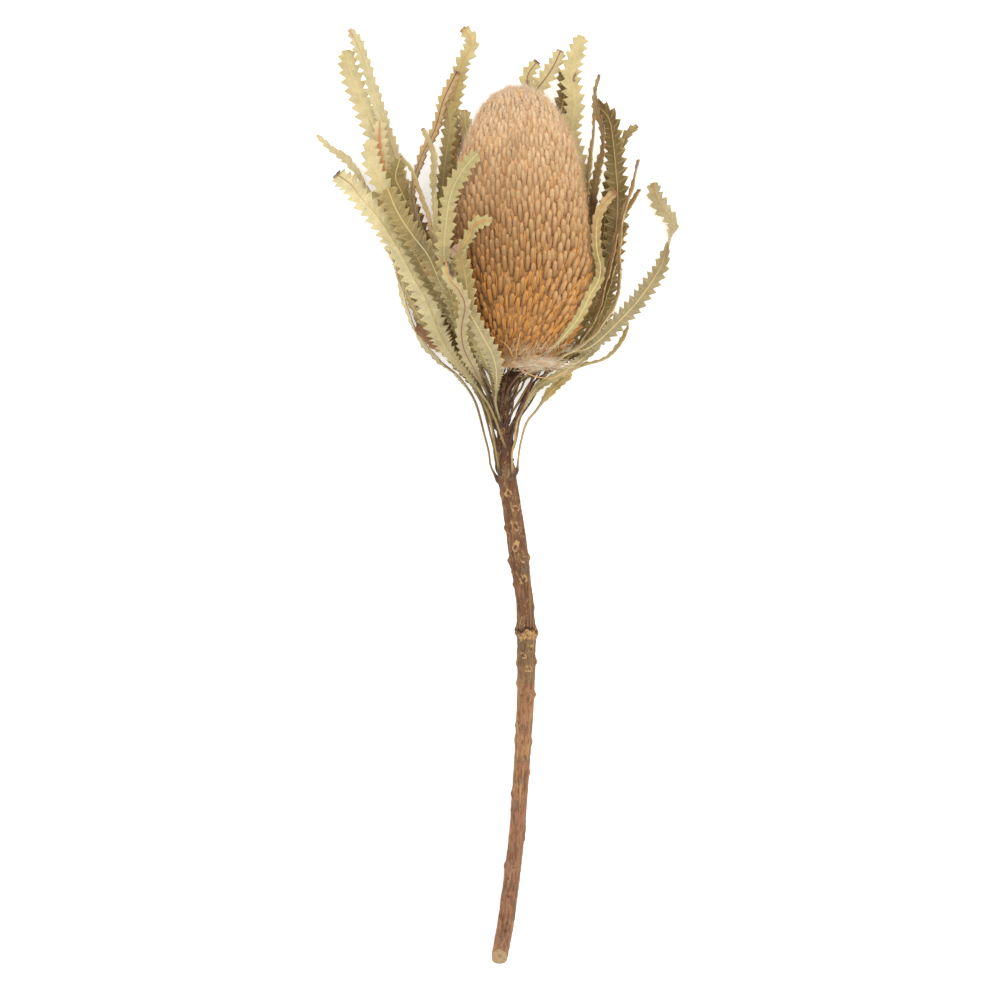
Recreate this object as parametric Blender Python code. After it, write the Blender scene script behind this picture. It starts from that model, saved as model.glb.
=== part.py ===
"""A dried banksia flower cone on its cut woody stem, with its long saw-toothed leaves.

It lies on its side along Y, the cone's tip towards +Y and the cut end of the stem towards -Y.
The cone rests on a pressed flat spot, the stem on its cut end, and low leaves touch the
surface on both sides. All sizes below are in millimetres and become metres in the meshes.
"""

import math
import random

import bpy
import numpy as np

MM = 0.001
SEED = 7
CURVE_FINE = 12

# The stem from its cut end to the cone: x, y, z of its middle and its thickness.
STEM_ROUTE = [
    (1.8, -208.0, 3.45, 7.2), (5.4, -187.0, 5.4, 7.4), (9.6, -154.0, 8.2, 7.0), (11.8, -122.0, 10.9, 7.0),
    (13.5, -90.0, 13.5, 7.6), (13.8, -62.0, 15.9, 8.4), (13.0, -46.0, 17.2, 7.4), (10.4, -25.0, 18.9, 8.4),
    (7.2, -3.0, 20.6, 8.2), (4.8, 12.0, 21.8, 7.6), (3.8, 24.0, 22.7, 6.0), (3.1, 34.0, 23.4, 5.4),
    (3.1, 44.0, 24.2, 4.8), (5.2, 51.0, 24.8, 4.8), (8.6, 54.8, 25.1, 5.2), (11.5, 57.0, 25.4, 5.6),
]
STEM_SIDES = 10
STEM_STEP = 5.0
# Ridges of the bark: how many, how deep in parts of the radius, and their twist per millimetre.
BARK_RIDGES = [(3, 0.035, 0.05), (5, 0.0175, -0.03)]
CUT_SLOPE = 1.0
# Height and length of a scar in millimetres and its spread round the stem in radians.
SCAR_SIZE = (0.75, 2.6, 0.6)
# Scars of fallen leaves: y along the stem and degrees round it, 0 to the right and 90 up.
SCARS = [
    (2, 100), (-5, 70), (-8, 215), (-13, 88), (-22, 105), (-28, 60), (-32, 190), (-37, 82), (-46, 20),
    (-68, 62), (-71, 110), (-77, 78), (-83, 118), (-88, 55), (-98, 84), (-102, 130), (-119, 100),
    (-124, 60), (-133, 125), (-147, 72), (-163, 105), (-167, 88), (-172, 118), (-180, 100), (-192, 88),
    (-199, 105), (-60, 180), (-60, 0), (-110, 200), (-150, 350),
]
# The node ring: its y, height and length.
STEM_RING = (-61.0, 0.8, 1.6)

# The cone: its axis, and its outline as distance along the axis and radius over the floret tips.
CONE_BASE = (12.4, 58.5, 25.8)
CONE_TIP = (9.7, 184.0, 35.5)
CONE_OUTLINE = [
    (0.0, 11.5), (3.2, 15.5), (7.7, 20.2), (13.5, 24.4), (23.4, 28.2), (31.0, 30.2), (45.5, 31.5),
    (57.0, 31.5), (68.4, 31.0), (80.0, 29.7), (91.0, 27.7), (99.0, 25.4), (106.0, 22.5), (113.4, 18.6),
    (118.0, 15.4), (121.6, 11.6), (124.2, 7.0),
]
OUTLINE_STEP = 0.5
FLORETS_ROUND = 28
FLORET_ASPECT = 1.5
FLORET_HEIGHT = 0.36
HEIGHT_SPREAD = 0.1
RIDGE_AT = 0.75
RIDGE_SINK = 0.10
PEAK_AT = 1.5
PEAK_LEAN = 0.12
PEAK_SPREAD = 0.05
RAGGED_PEAK = 0.12
RAGGED_LENGTH = 38.0
# Florets lower than this are pressed flat on the surface.
PRESSED = 2.6

# Leaves.
STALK_HALF = 0.8
RIB_HALF = 0.6
TOOTH_PITCH = 7.0
STALK_PITCH = 7.5
LINE_STEP = 1.0
TOOTH_NOTCH = 0.58
TOOTH_LEAN = 0.82
BLADE_CUP = 0.12
SWELL_SHARE = 0.3
BASE_WIDTH = 0.3
TIP_SHARE = 0.08
TIP_WIDTH = 0.6
GAP = 0.3

# Each leaf: where its stalk meets the stem (y, degrees round it), stalk length, blade width, the
# blade's turn about its own line at even steps from stalk to tip, and its line from stalk to tip.
LEAVES = {
    "leaf_left_outer": ((9, 180), 40, 8.0, (70, 75, 75, 80), [
        (-1, 16, 19), (-5, 28, 17), (-8, 41, 15), (-16, 53.5, 13), (-26, 62, 12), (-34, 71.5, 11),
        (-39, 82, 10), (-42.5, 93, 10), (-45, 104, 11), (-49, 113, 12)]),
    "leaf_left_low": ((15, 238), 34, 7.5, (30, 45, 60, 60), [
        (-4, 38, 15), (-10, 50, 12), (-18, 67, 10), (-28, 86, 8.5), (-38, 105, 7), (-50, 124, 6),
        (-60, 142.5, 5), (-67, 152.5, 6), (-73, 157, 7), (-81, 163.5, 8)]),
    "leaf_left_big": ((22, 82), 34, 12.0, (20, 5, 0, -10, -20), [
        (2, 29, 30.5), (-1, 37, 32), (-5.5, 46, 33.5), (-13, 55, 32.5), (-23, 68.5, 30.5), (-31, 88, 27),
        (-36, 97, 23), (-44, 112, 19), (-53, 126, 14), (-60.5, 134.5, 9), (-65.5, 141, 6),
        (-72, 146, 2)]),
    "leaf_left_folded": ((36, 150), 20, 12.0, (50, 65, 75, 45, 10, 0), [
        (-3.5, 46, 24.5), (-7, 57, 28), (-12, 68.5, 32), (-16.5, 82, 35), (-20, 89, 36),
        (-24.5, 96, 36), (-27, 102, 35), (-30.5, 109, 34), (-37.5, 118, 31), (-44, 128, 28),
        (-48.5, 138.5, 25)]),
    "leaf_left_inner": ((33, 182), 28, 11.0, (20, 10, 0, 0, 10), [
        (-5, 46, 21.5), (-9, 59, 20.5), (-14.5, 73, 20), (-20, 88, 20), (-25, 100, 20), (-30, 112, 20),
        (-35, 121, 20), (-38.5, 129, 21), (-42.5, 138, 22), (-45, 144, 22), (-43, 152, 22)]),
    "leaf_left_stalked": ((23, 150), 32, 6.2, (30, 10, 0, 0), [
        (-2.2, 34, 25.5), (-3.2, 40, 27.5), (-5, 48, 35), (-9.5, 57, 44), (-14, 66, 51.5),
        (-15, 75, 56), (-13.5, 85, 57), (-16.5, 92, 55), (-20.5, 97, 52), (-22, 104.5, 49)]),
    "leaf_front_left": ((34, 104), 16, 9.5, (10, 20, 25, 25), [
        (0, 42, 32), (0.5, 49, 36), (0.5, 57, 41), (-1.5, 64, 45), (-7, 74, 48.5), (-12, 84, 50),
        (-12.5, 93, 51), (-14, 101.5, 51), (-16, 107.5, 50), (-19, 111, 48)]),
    "leaf_front_left_short": ((38, 128), 22, 8.5, (10, 20, 25), [
        (-1.5, 47, 32), (-3, 57, 39), (-7, 68, 45), (-10, 75.5, 48), (-14.5, 83.5, 50)]),
    "leaf_left_lower": ((12, 130), 38, 4.8, (20, 10, 0), [
        (0, 21, 27), (-1.5, 30, 28.5), (-4.5, 42, 30), (-11, 53, 29.5), (-20, 64.5, 26), (-27, 68, 24),
        (-32, 73, 22), (-36, 76.5, 20)]),
    "leaf_left_olive": ((13, 208), 36, 8.0, (50, 60, 60), [
        (-3, 34, 16), (-8, 47, 14), (-15, 60.5, 13), (-25, 70.5, 13), (-34, 81, 14), (-39.5, 92, 15),
        (-44, 104, 16)]),
    "leaf_left_grey": ((27, 248), 25, 7.0, (50, 60), [
        (-4, 44, 13), (-12, 53.5, 10), (-22.5, 65, 8), (-33.5, 76.5, 7), (-37, 92, 8)]),
    "leaf_upper_left_first": ((38, 214), 25, 9.5, (10, 20, 45, 45), [
        (-3.5, 50, 13), (-10.5, 62, 9.5), (-18, 80, 7.5), (-26, 100, 7), (-33, 118, 8), (-39.5, 136, 9),
        (-44.5, 151.5, 10), (-51, 172, 11), (-55, 183, 12), (-58, 194, 13), (-62.5, 205.5, 14),
        (-66, 211, 15)]),
    "leaf_upper_left_second": ((36, 242), 25, 11.5, (0, 10, 10, 10), [
        (-5, 49, 11), (-13.5, 65, 6), (-22, 85, 3), (-30.5, 104.5, 1.5), (-38.5, 122.5, 1),
        (-45, 138, 2), (-49.5, 152.5, 3), (-57, 170.5, 5), (-60.5, 179, 6), (-65.5, 192, 8),
        (-67.5, 202, 10)]),
    "leaf_left_brown_tip": ((25, 216), 30, 9.0, (20, 20, 10, 10), [
        (-5, 46, 13), (-13.5, 59.5, 12), (-24, 75, 12), (-34, 92, 12.5), (-43, 109, 13),
        (-49, 122.5, 13.5), (-51.5, 134, 14), (-50, 145, 15), (-52, 156, 16), (-52, 169.5, 17)]),
    "leaf_left_toothed": ((45, 192), 34, 10.0, (0, 5, 10, 10), [
        (-4, 54, 22), (-9, 63, 22), (-17, 76, 20.5), (-25, 90, 21.5), (-34, 106, 24), (-43, 122.5, 24.5),
        (-48.5, 136, 24), (-53.5, 145, 23), (-56, 153, 22), (-56, 161, 21)]),
    "leaf_top_tall": ((48, 214), 40, 8.5, (20, 20, 20, 10, 0), [
        (-3, 56, 16), (-10, 64, 13), (-20, 81, 9.5), (-24, 98, 9.5), (-25, 115.5, 12), (-23, 131.5, 14),
        (-19.5, 145, 15), (-18, 156, 17), (-19, 168, 20), (-18.5, 178, 23.5), (-16.5, 187, 26),
        (-14.8, 195, 28), (-11.5, 201, 30), (-11.2, 206, 31), (-15, 210.3, 31.5)]),
    "leaf_top_dark": ((34, 206), 22, 7.5, (30, 40, 60, 30), [
        (-3.5, 46, 22), (-9, 58, 24.5), (-17, 75, 26), (-25, 93, 26.5), (-31.5, 111, 26.5),
        (-36, 127, 26), (-37, 140, 25), (-32.5, 154, 24), (-27, 165, 23.5), (-23.5, 177, 24),
        (-20.5, 184, 25), (-17, 191, 26)]),
    "leaf_top_olive": ((52, 200), 30, 8.5, (20, 20, 40, 20), [
        (-2, 57, 20), (-10, 67, 17.5), (-20, 86, 18.5), (-24.5, 104.5, 18.5), (-25.5, 120, 17),
        (-24, 135.5, 19), (-22.5, 149.5, 21), (-21, 162, 22), (-20.5, 168, 22), (-22, 178.5, 23)]),
    "leaf_beside_dome": ((48, 236), 12, 8.0, (20, 20, 10, 0), [
        (-1, 59, 14), (-8, 72, 10), (-13.5, 90, 7), (-16, 110, 6), (-15.5, 130, 7), (-13.5, 146, 10),
        (-12.5, 160, 15), (-13.5, 168, 18), (-14, 174.5, 20)]),
    "leaf_over_cone": ((47, 135), 20, 10.5, (60, 50, 40, 30, 30), [
        (-3, 47, 28), (-7, 57, 31), (-12, 68, 34), (-17, 82, 37), (-21, 95.5, 39), (-22.5, 106, 40),
        (-22.5, 115, 41), (-21.5, 124, 43), (-20, 134, 47), (-16, 143, 51), (-11.5, 149, 54),
        (-7.5, 153, 56)]),
    "leaf_top_narrow": ((50, 165), 18, 6.5, (30, 60, 60), [
        (-3, 56, 26.5), (-11.5, 65, 29), (-17.5, 79, 32), (-22, 97.5, 34), (-25.5, 113, 34),
        (-27, 128, 34), (-27.5, 142.5, 33), (-28, 155, 33), (-32.5, 165.5, 33)]),
    "leaf_left_edge_on": ((41, 178), 26, 6.5, (40, 60, 75), [
        (-5.5, 51, 23.5), (-10.5, 61, 26), (-17, 76, 28.5), (-22, 95, 30), (-26.5, 111, 30),
        (-30.5, 127, 30), (-33.5, 136, 30), (-36.5, 145, 30), (-42.5, 153, 29)]),
    "leaf_small_over_cone": ((43, 112), 20, 7.5, (20, 30, 40, 20), [
        (-2.5, 50, 31.5), (-8.5, 59.5, 37.5), (-14, 75, 45), (-16.5, 88.5, 49), (-17.5, 100, 49),
        (-15, 110, 51), (-11.5, 116.5, 55), (-9, 121, 58), (-5, 122.5, 60.5), (-1.5, 123, 62)]),
    "leaf_right_big": ((46, 28), 40, 9.5, (-10, -15, -20, -20, -15, -10, -5, 0, 5, 20, 60, 130, 165, 170), [
        (9.5, 51.5, 29), (15, 55.5, 35), (21.5, 59.5, 39.5), (29, 65, 39), (39.5, 66, 36), (46, 70, 31),
        (54, 77.5, 24), (63, 87, 16), (70.5, 97, 10), (76, 106.5, 5.5), (79, 117.5, 4), (80, 124, 4),
        (76.5, 129.5, 6), (72.5, 136, 8), (71.5, 142, 10)]),
    "leaf_right_thin": ((41, 0), 24, 7.0, (70, 75, 75), [
        (9, 49, 21), (16, 55, 19), (22.5, 57.5, 17), (33, 57.5, 14), (41.5, 60, 12), (49.5, 62.5, 10),
        (54, 67, 9), (58, 71.5, 8), (60, 77.5, 8)]),
    "leaf_right_dark": ((24, 340), 40, 11.5, (20, 10, 0, 0, 10, 30), [
        (9.5, 37, 18), (11.5, 41.5, 17), (15, 46.5, 15.5), (20, 52.5, 14), (25, 58, 13), (33, 63, 13),
        (40, 68.5, 14), (46.5, 79, 17), (49.5, 90, 19), (52.5, 106, 21), (54.5, 122.5, 23),
        (55, 136, 23), (54, 150, 22), (53, 160.5, 22), (51.5, 169.5, 22), (48, 174.5, 22),
        (44.5, 176.5, 21)]),
    "leaf_right_front": ((46, 62), 32, 5.0, (0, -10, 0), [
        (9.5, 53, 30), (14, 57, 35), (20.5, 62.5, 42.5), (25.5, 66.5, 45), (32, 73.5, 46.5),
        (38, 81.5, 44), (42, 90, 42), (46, 97, 40), (47, 103, 38), (45.5, 110, 37), (45, 118, 36.5),
        (46, 126, 35.5), (49.5, 132.5, 35), (54, 137, 34)]),
    "leaf_right_shaded": ((35, 326), 24, 8.0, (30, 20, 10, 30, 70, 70), [
        (9, 50, 17), (17.5, 55.5, 13.5), (28.5, 63.5, 12.5), (37, 75, 15.5), (43, 89, 19), (45, 104.5, 23),
        (44, 118, 25), (44, 131.5, 27), (45, 142, 28), (47.5, 152, 28), (48.5, 160, 27),
        (47.5, 167, 26), (45, 176, 25), (45, 182.5, 25), (46.5, 190, 25)]),
    "leaf_right_pale": ((43, 332), 16, 7.0, (60, 75, 75), [
        (12, 55.5, 20), (20, 59, 16), (28, 67, 13), (35, 79, 14), (39.5, 93, 16), (42.5, 108, 19),
        (42.5, 122, 21), (41.5, 138, 23), (42.5, 150, 24), (44, 162, 24), (44.5, 174.5, 24)]),
    "leaf_behind_right": ((47, 308), 16, 10.5, (-10, -15, -10, 0, 0), [
        (9, 56, 14), (16, 62, 10.5), (28, 70, 9.5), (38, 81, 9.5), (42, 97.5, 10.5), (43, 115.5, 11.5),
        (41, 133.5, 12.5), (37, 151.5, 14), (34, 162, 16), (34.5, 170, 18), (35.5, 177.5, 19),
        (34, 190, 21), (36.5, 200.5, 23), (39, 207.5, 24)]),
    "leaf_behind_right_short": ((49, 284), 14, 9.0, (-10, -10, 0, 0), [
        (8.5, 59, 12), (16, 66, 7.5), (28, 76, 6), (35.5, 92, 6), (38.5, 110, 6.5), (37, 128, 8),
        (33, 147, 10), (29.5, 163, 13), (29.5, 173.5, 15), (31.5, 183.5, 16), (30, 192, 17)]),
    "leaf_behind_dome": ((51, 258), 14, 8.5, (0, 0, 0, 0), [
        (8.5, 61, 9), (17, 69, 4.5), (27, 81, 2), (33, 95, 1.5), (35, 110, 1.5), (33, 127, 2),
        (27, 143, 3.5), (20.5, 158, 6), (16, 172, 10), (15, 182.5, 12), (14.5, 190, 13),
        (19, 196.5, 14)]),
    "leaf_behind_dome_slant": ((43, 262), 14, 9.0, (0, 0, 0, 0), [
        (2, 60, 11), (-6, 71, 6), (-14, 88, 3.5), (-18, 108, 2.5), (-16, 126, 3), (-10, 141, 4),
        (-2, 155, 6), (6.5, 170, 9), (17, 182, 12), (25, 192.5, 14), (29.5, 201.5, 15)]),
    "leaf_right_narrow_first": ((36, 28), 34, 6.0, (60, 70, 75, 75), [
        (10, 42, 25), (14, 49, 26), (20, 57, 27), (29, 62, 28), (42.5, 71, 28), (48.5, 78, 29),
        (53.5, 87, 30), (56, 98, 31), (55.5, 108, 31), (56, 118, 31), (58, 128, 30), (61, 138, 29),
        (63, 146, 27), (64.5, 151.5, 25)]),
    "leaf_right_narrow_second": ((26, 34), 36, 6.0, (60, 70, 70), [
        (9.5, 38, 24), (13, 45, 24), (18, 52, 23.5), (27, 58, 23), (38, 69.5, 24.5), (46, 84, 25.5),
        (50.5, 100, 27), (53.5, 113.5, 27), (57, 124, 26), (60.5, 131.5, 25), (65, 138, 24)]),
    "leaf_right_narrow_third": ((23, 8), 38, 6.0, (60, 70, 70), [
        (10.5, 34, 20), (14, 43, 20), (18, 50, 20), (26, 59, 20), (36, 68, 21), (45, 80, 23.5),
        (50, 92, 25), (54, 105, 26), (57, 117, 26), (60, 122, 25)]),
    "leaf_right_behind": ((37, 300), 22, 8.5, (10, 10, 20, 50), [
        (9, 53, 15.5), (19, 60, 11), (30, 69, 9.5), (39.5, 80, 10), (45.5, 93, 11), (48, 109, 12.5),
        (49.5, 124.5, 13.5), (51.5, 140.5, 14.5), (54, 153, 15), (58, 161, 15.5), (61, 165, 16),
        (64, 167.5, 16)]),
    "leaf_right_lowest": ((12, 0), 32, 5.0, (40, 30, 20), [
        (10.5, 19, 20.5), (11.5, 25, 20), (14, 33.5, 19), (18, 38.5, 18), (22, 44, 17), (25.5, 48, 16),
        (30, 52.5, 15), (34, 56, 14)]),
    "leaf_right_front_low": ((10, 62), 30, 4.5, (20, 10, 0), [
        (7.2, 18.5, 25.6), (8, 25, 26), (9.5, 33.5, 26.5), (12.5, 39.5, 26.5), (16.5, 46.5, 26),
        (20.5, 50.5, 25), (26, 53.5, 24), (33.5, 58, 22.5), (41, 64, 21), (47, 69, 20)]),
}

# Spreading of the leaves, so that no blade passes through another.
SPREAD_STEP = 3.0
SPREAD_ROUNDS = 90
BLADE_CLEAR = 1.6
STALK_CLEAR = 1.15
STEM_CLEAR = 0.6
CONE_CLEAR = 1.2
ACROSS = np.array([-0.9, -0.45, 0.0, 0.45, 0.9])
HOLD_LENGTH = 9.0
STALK_LEVEL = 2.0
STALK_NEAR = 14.0
BLADE_NEAR = 1.0
STEM_FINE = 2.0
CLOSE = 0.05
# The share of a lack that one round makes up, and the most it moves, for stalks, blades and cone.
STALK_PUSH = (0.4, 0.8)
BLADE_PUSH = (0.5, 4.0)
CONE_PUSH = (0.7, 3.0)

# Colour, roughness.
FINISH = {
    "stem": ((0.19, 0.11, 0.07), 0.85),
    "cone": ((0.56, 0.36, 0.20), 0.9),
    "leaf": ((0.38, 0.35, 0.17), 0.75),
}


def smooth_curve(points, step):
    """Points at even distances along a smooth curve through the given ones."""
    knots = np.array(points, float)
    knots = np.vstack([2 * knots[0] - knots[1], knots, 2 * knots[-1] - knots[-2]])
    fine = []
    for a, b, c, d in zip(knots, knots[1:], knots[2:], knots[3:]):
        for s in np.linspace(0.0, 1.0, CURVE_FINE, endpoint=False):
            fine.append(0.5 * (2 * b + (c - a) * s + (2 * a - 5 * b + 4 * c - d) * s ** 2
                               + (3 * b - a - 3 * c + d) * s ** 3))
    fine.append(knots[-2])
    fine = np.array(fine)
    run = run_length(fine)
    at = np.linspace(0.0, run[-1], max(2, round(run[-1] / step) + 1))
    return along(fine, run, at)


def run_length(line):
    """Distance along a line of points, starting at 0."""
    return np.concatenate([[0.0], np.cumsum(np.linalg.norm(np.diff(line[:, :3], axis=0), axis=1))])


def along(line, run, at):
    """The line's values at given distances along it."""
    return np.column_stack([np.interp(at, run, column) for column in line.T])


def unit(vectors):
    """Vectors of length 1."""
    return vectors / np.linalg.norm(vectors, axis=-1, keepdims=True)


def add_object(name, verts, faces, finish):
    """A named mesh object with its own material, from points in millimetres."""
    mesh = bpy.data.meshes.new(name)
    mesh.from_pydata([tuple(float(c) * MM for c in v) for v in verts], [], faces)
    mesh.update()
    colour, roughness = FINISH[finish]
    material = bpy.data.materials.new(name)
    material.use_nodes = True
    shader = material.node_tree.nodes["Principled BSDF"]
    shader.inputs["Base Color"].default_value = (*colour, 1.0)
    shader.inputs["Roughness"].default_value = roughness
    shader.inputs["Metallic"].default_value = 0.0
    mesh.materials.append(material)
    thing = bpy.data.objects.new(name, mesh)
    bpy.context.scene.collection.objects.link(thing)
    return thing


def stem_line():
    """The stem's middle and thickness at even steps, from the cut end up."""
    return smooth_curve(STEM_ROUTE, STEM_STEP)


def stem_at(line, y):
    """The stem's middle and radius at a distance y along the object."""
    middle = [np.interp(y, line[:, 1], line[:, k]) for k in (0, 1, 2)]
    return np.array(middle), np.interp(y, line[:, 1], line[:, 3]) / 2


def bark_radius(y, angle, radius):
    """The stem's radius with its long ridges, its ring and the scars of fallen leaves."""
    radius *= 1 + sum(depth * math.sin(count * angle + twist * y) for count, depth, twist in BARK_RIDGES)
    ring_y, ring_height, ring_length = STEM_RING
    radius += ring_height * math.exp(-((y - ring_y) / ring_length) ** 2)
    height, length, spread = SCAR_SIZE
    for scar_y, scar_angle in SCARS:
        turn = math.remainder(angle - math.radians(scar_angle), 2 * math.pi)
        radius += height * math.exp(-((y - scar_y) / length) ** 2 - (turn / spread) ** 2)
    return radius


def make_stem():
    """The woody stem: a ridged tube, cut aslant at its lower end and flush under the cone."""
    line = stem_line()
    axis = unit(np.array(CONE_TIP) - np.array(CONE_BASE))
    forward = unit(np.gradient(line[:, :3], axis=0))
    right = unit(np.cross(forward, (0.0, 0.0, 1.0)))
    up = np.cross(right, forward)
    rings = []
    for middle, x_way, z_way in zip(line, right, up):
        ring = []
        for k in range(STEM_SIDES):
            angle = 2 * math.pi * k / STEM_SIDES
            radius = bark_radius(middle[1], angle, middle[3] / 2)
            ring.append(middle[:3] + radius * (math.cos(angle) * x_way + math.sin(angle) * z_way))
        rings.append(ring)
    for point in rings[0]:
        point[1] = line[0, 1] + CUT_SLOPE * (point[2] - line[0, 2])
    for k, point in enumerate(rings[-1]):
        rings[-1][k] = point - (np.dot(point - CONE_BASE, axis) + GAP) * axis
    verts = [point for ring in rings for point in ring]
    for point in verts:
        point[2] = max(point[2], 0.0)
    faces = []
    for r in range(len(rings) - 1):
        for k in range(STEM_SIDES):
            a = r * STEM_SIDES + k
            b = r * STEM_SIDES + (k + 1) % STEM_SIDES
            c, d = b + STEM_SIDES, a + STEM_SIDES
            faces += [(a, c, b), (a, d, c)]
    low, high = len(verts), len(verts) + 1
    verts += [np.mean(rings[0], axis=0), np.mean(rings[-1], axis=0)]
    last = (len(rings) - 1) * STEM_SIDES
    for k in range(STEM_SIDES):
        after = (k + 1) % STEM_SIDES
        faces += [(low, k, after), (high, last + after, last + k)]
    return add_object("stem", verts, faces, "stem")


def cone_frame():
    """The cone's base point, its axis, and the two ways across it."""
    base, tip = np.array(CONE_BASE), np.array(CONE_TIP)
    axis = unit(tip - base)
    across = unit(np.cross(axis, (0.0, 0.0, 1.0)))
    return base, axis, across, np.cross(across, axis)


def cone_rows():
    """Rows of florets up the outline: distance along the axis, radius, and the outward way."""
    outline = smooth_curve([(t, r, 0.0) for t, r in CONE_OUTLINE], OUTLINE_STEP)
    run = run_length(outline)
    slope = np.gradient(outline[:, :2], run, axis=0)
    at = [0.0]
    while at[-1] < run[-1]:
        radius = np.interp(at[-1], run, outline[:, 1])
        at.append(at[-1] + FLORET_ASPECT * math.pi * radius / FLORETS_ROUND)
    at = np.array(at) * run[-1] / at[-1]
    return np.column_stack([along(outline[:, :2], run, at), along(slope, run, at)])


def make_cone():
    """The flower cone: rows of pointed florets, staggered, all raised from one closed surface."""
    rng = random.Random(SEED)
    base, axis, across, up = cone_frame()
    rows = cone_rows()
    verts, faces = [], []

    def place(row, column, height):
        low = min(int(row), len(rows) - 2)
        along_axis, radius, slope_t, slope_r = rows[low] + (rows[low + 1] - rows[low]) * (row - low)
        angle = 2 * math.pi * column / FLORETS_ROUND
        outward = math.cos(angle) * across + math.sin(angle) * up
        point = base + axis * along_axis + outward * radius + height * (outward * slope_t - axis * slope_r)
        if point[2] < PRESSED:
            point[2] = 0.0
        verts.append(point)
        return len(verts) - 1

    def corner(row, column):
        return row * FLORETS_ROUND + (column - (row % 2)) // 2 % FLORETS_ROUND

    last = len(rows) - 1
    for row in range(len(rows)):
        size = 2 * math.pi * rows[row][1] / FLORETS_ROUND
        for k in range(FLORETS_ROUND):
            sunk = FLORET_HEIGHT * size * rng.uniform(1 - HEIGHT_SPREAD, 1 + HEIGHT_SPREAD)
            place(row, k + 0.5 * (row % 2), 0.0 if row == 0 else -sunk)
    for row in range(last - 1):
        size = 2 * math.pi * rows[row + 1][1] / FLORETS_ROUND
        ragged = max(0.0, 1 - rows[row][0] / RAGGED_LENGTH)
        for k in range(FLORETS_ROUND):
            column = 2 * k + row % 2
            low, top = corner(row, column), corner(row + 2, column)
            left, right = corner(row + 1, column + 1), corner(row + 1, column - 1)
            lean = rng.uniform(-PEAK_LEAN, PEAK_LEAN) * (1 + ragged)
            peak_height = size * rng.uniform(-PEAK_SPREAD, PEAK_SPREAD + RAGGED_PEAK * ragged)
            ridge = place(row + RIDGE_AT, k + 0.5 * (row % 2), -RIDGE_SINK * size)
            peak = place(row + PEAK_AT, k + 0.5 * (row % 2) + lean, peak_height)
            faces += [(low, ridge, right), (low, left, ridge), (ridge, peak, right),
                      (left, peak, ridge), (right, peak, top), (peak, left, top)]
    centre = len(verts)
    verts.append(base.copy())
    crown = len(verts)
    verts.append(np.array(CONE_TIP))
    for k in range(FLORETS_ROUND):
        after = (k + 1) % FLORETS_ROUND
        faces.append((centre, after, k))
        faces.append((k, after, corner(1, 2 * k + 1)))
        here = 2 * k + last % 2
        faces.append((corner(last, here), corner(last - 1, here + 1), corner(last, here + 2)))
        faces.append((crown, corner(last, here), corner(last, here + 2)))
    return add_object("cone", verts, [face[::-1] for face in faces], "cone")


def blade_share(run, stalk):
    """How far each place is along the blade, from 0 at the end of the stalk to 1 at the tip."""
    return np.clip((run - stalk) / (run[-1] - stalk), 0.0, 1.0)


def half_widths(run, stalk, width):
    """Half the leaf's width along it: a thin stalk, a long blade and a blunt tip."""
    share = blade_share(run, stalk)
    swell = np.clip(share / SWELL_SHARE, 0.0, 1.0)
    swell = BASE_WIDTH + (1 - BASE_WIDTH) * swell * swell * (3 - 2 * swell)
    taper = np.clip((1 - share) / TIP_SHARE, 0.0, 1.0)
    half = width / 2 * swell * (TIP_WIDTH + (1 - TIP_WIDTH) * np.sqrt(taper))
    return np.where(run > stalk, np.maximum(half, STALK_HALF), STALK_HALF)


def leaf_sides(line, run, turns):
    """The ways across and out of the blade along a leaf's line."""
    forward = unit(np.gradient(line, run, axis=0))
    side = unit(np.cross(forward, (0.0, 0.0, 1.0)))
    out = np.cross(side, forward)
    turn = np.radians(np.interp(run / run[-1], np.linspace(0, 1, len(turns)), turns))[:, None]
    return side * np.cos(turn) + out * np.sin(turn), out * np.cos(turn) - side * np.sin(turn)


def leaf_lines():
    """Every leaf's line from its foot on the stem to its tip, before the leaves are spread."""
    stem = stem_line()
    lines = {}
    for name, (foot, stalk, width, turns, route) in LEAVES.items():
        middle, radius = stem_at(stem, foot[0])
        angle = math.radians(foot[1])
        reach = bark_radius(foot[0], angle, radius) + GAP + STALK_HALF
        start = middle + reach * np.array([math.cos(angle), 0.0, math.sin(angle)])
        lines[name] = smooth_curve([start] + [np.array(p, float) for p in route], SPREAD_STEP)
    return lines


def cone_lift(points, above, clear):
    """How far points must move up or down to clear the cone, by the side they are on."""
    base, axis, across, up = cone_frame()
    outline = np.array(CONE_OUTLINE + [(np.linalg.norm(np.subtract(CONE_TIP, CONE_BASE)), 0.0)])
    rel = points - base
    t = rel @ axis
    u, v = rel @ across, rel @ up
    radius = np.interp(t, outline[:, 0], outline[:, 1])
    radius = np.where((t > -clear) & (t < outline[-1, 0] + clear), radius + clear, 0.0)
    need = np.sqrt(np.clip(radius ** 2 - u ** 2, 0.0, None))
    lift = np.where(above, need - v, -need - v)
    return np.where((radius ** 2 > u ** 2 + v ** 2), lift, 0.0)


def smooth_run(values, owner, times):
    """Even out values along each leaf."""
    for _ in range(times):
        for leaf in range(owner[-1] + 1):
            here = owner == leaf
            padded = np.pad(values[here], 1, mode="edge")
            values[here] = 0.25 * padded[:-2] + 0.5 * padded[1:-1] + 0.25 * padded[2:]
    return values


def pair_order(points, owner, one, two):
    """Which leaf of each close pair lies above the other, decided once for the whole pair."""
    count = owner[-1] + 1
    lead = np.zeros((count, count))
    np.add.at(lead, (owner[one], owner[two]), points[one, 2] - points[two, 2])
    return np.where(lead >= 0, 1.0, -1.0)


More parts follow.
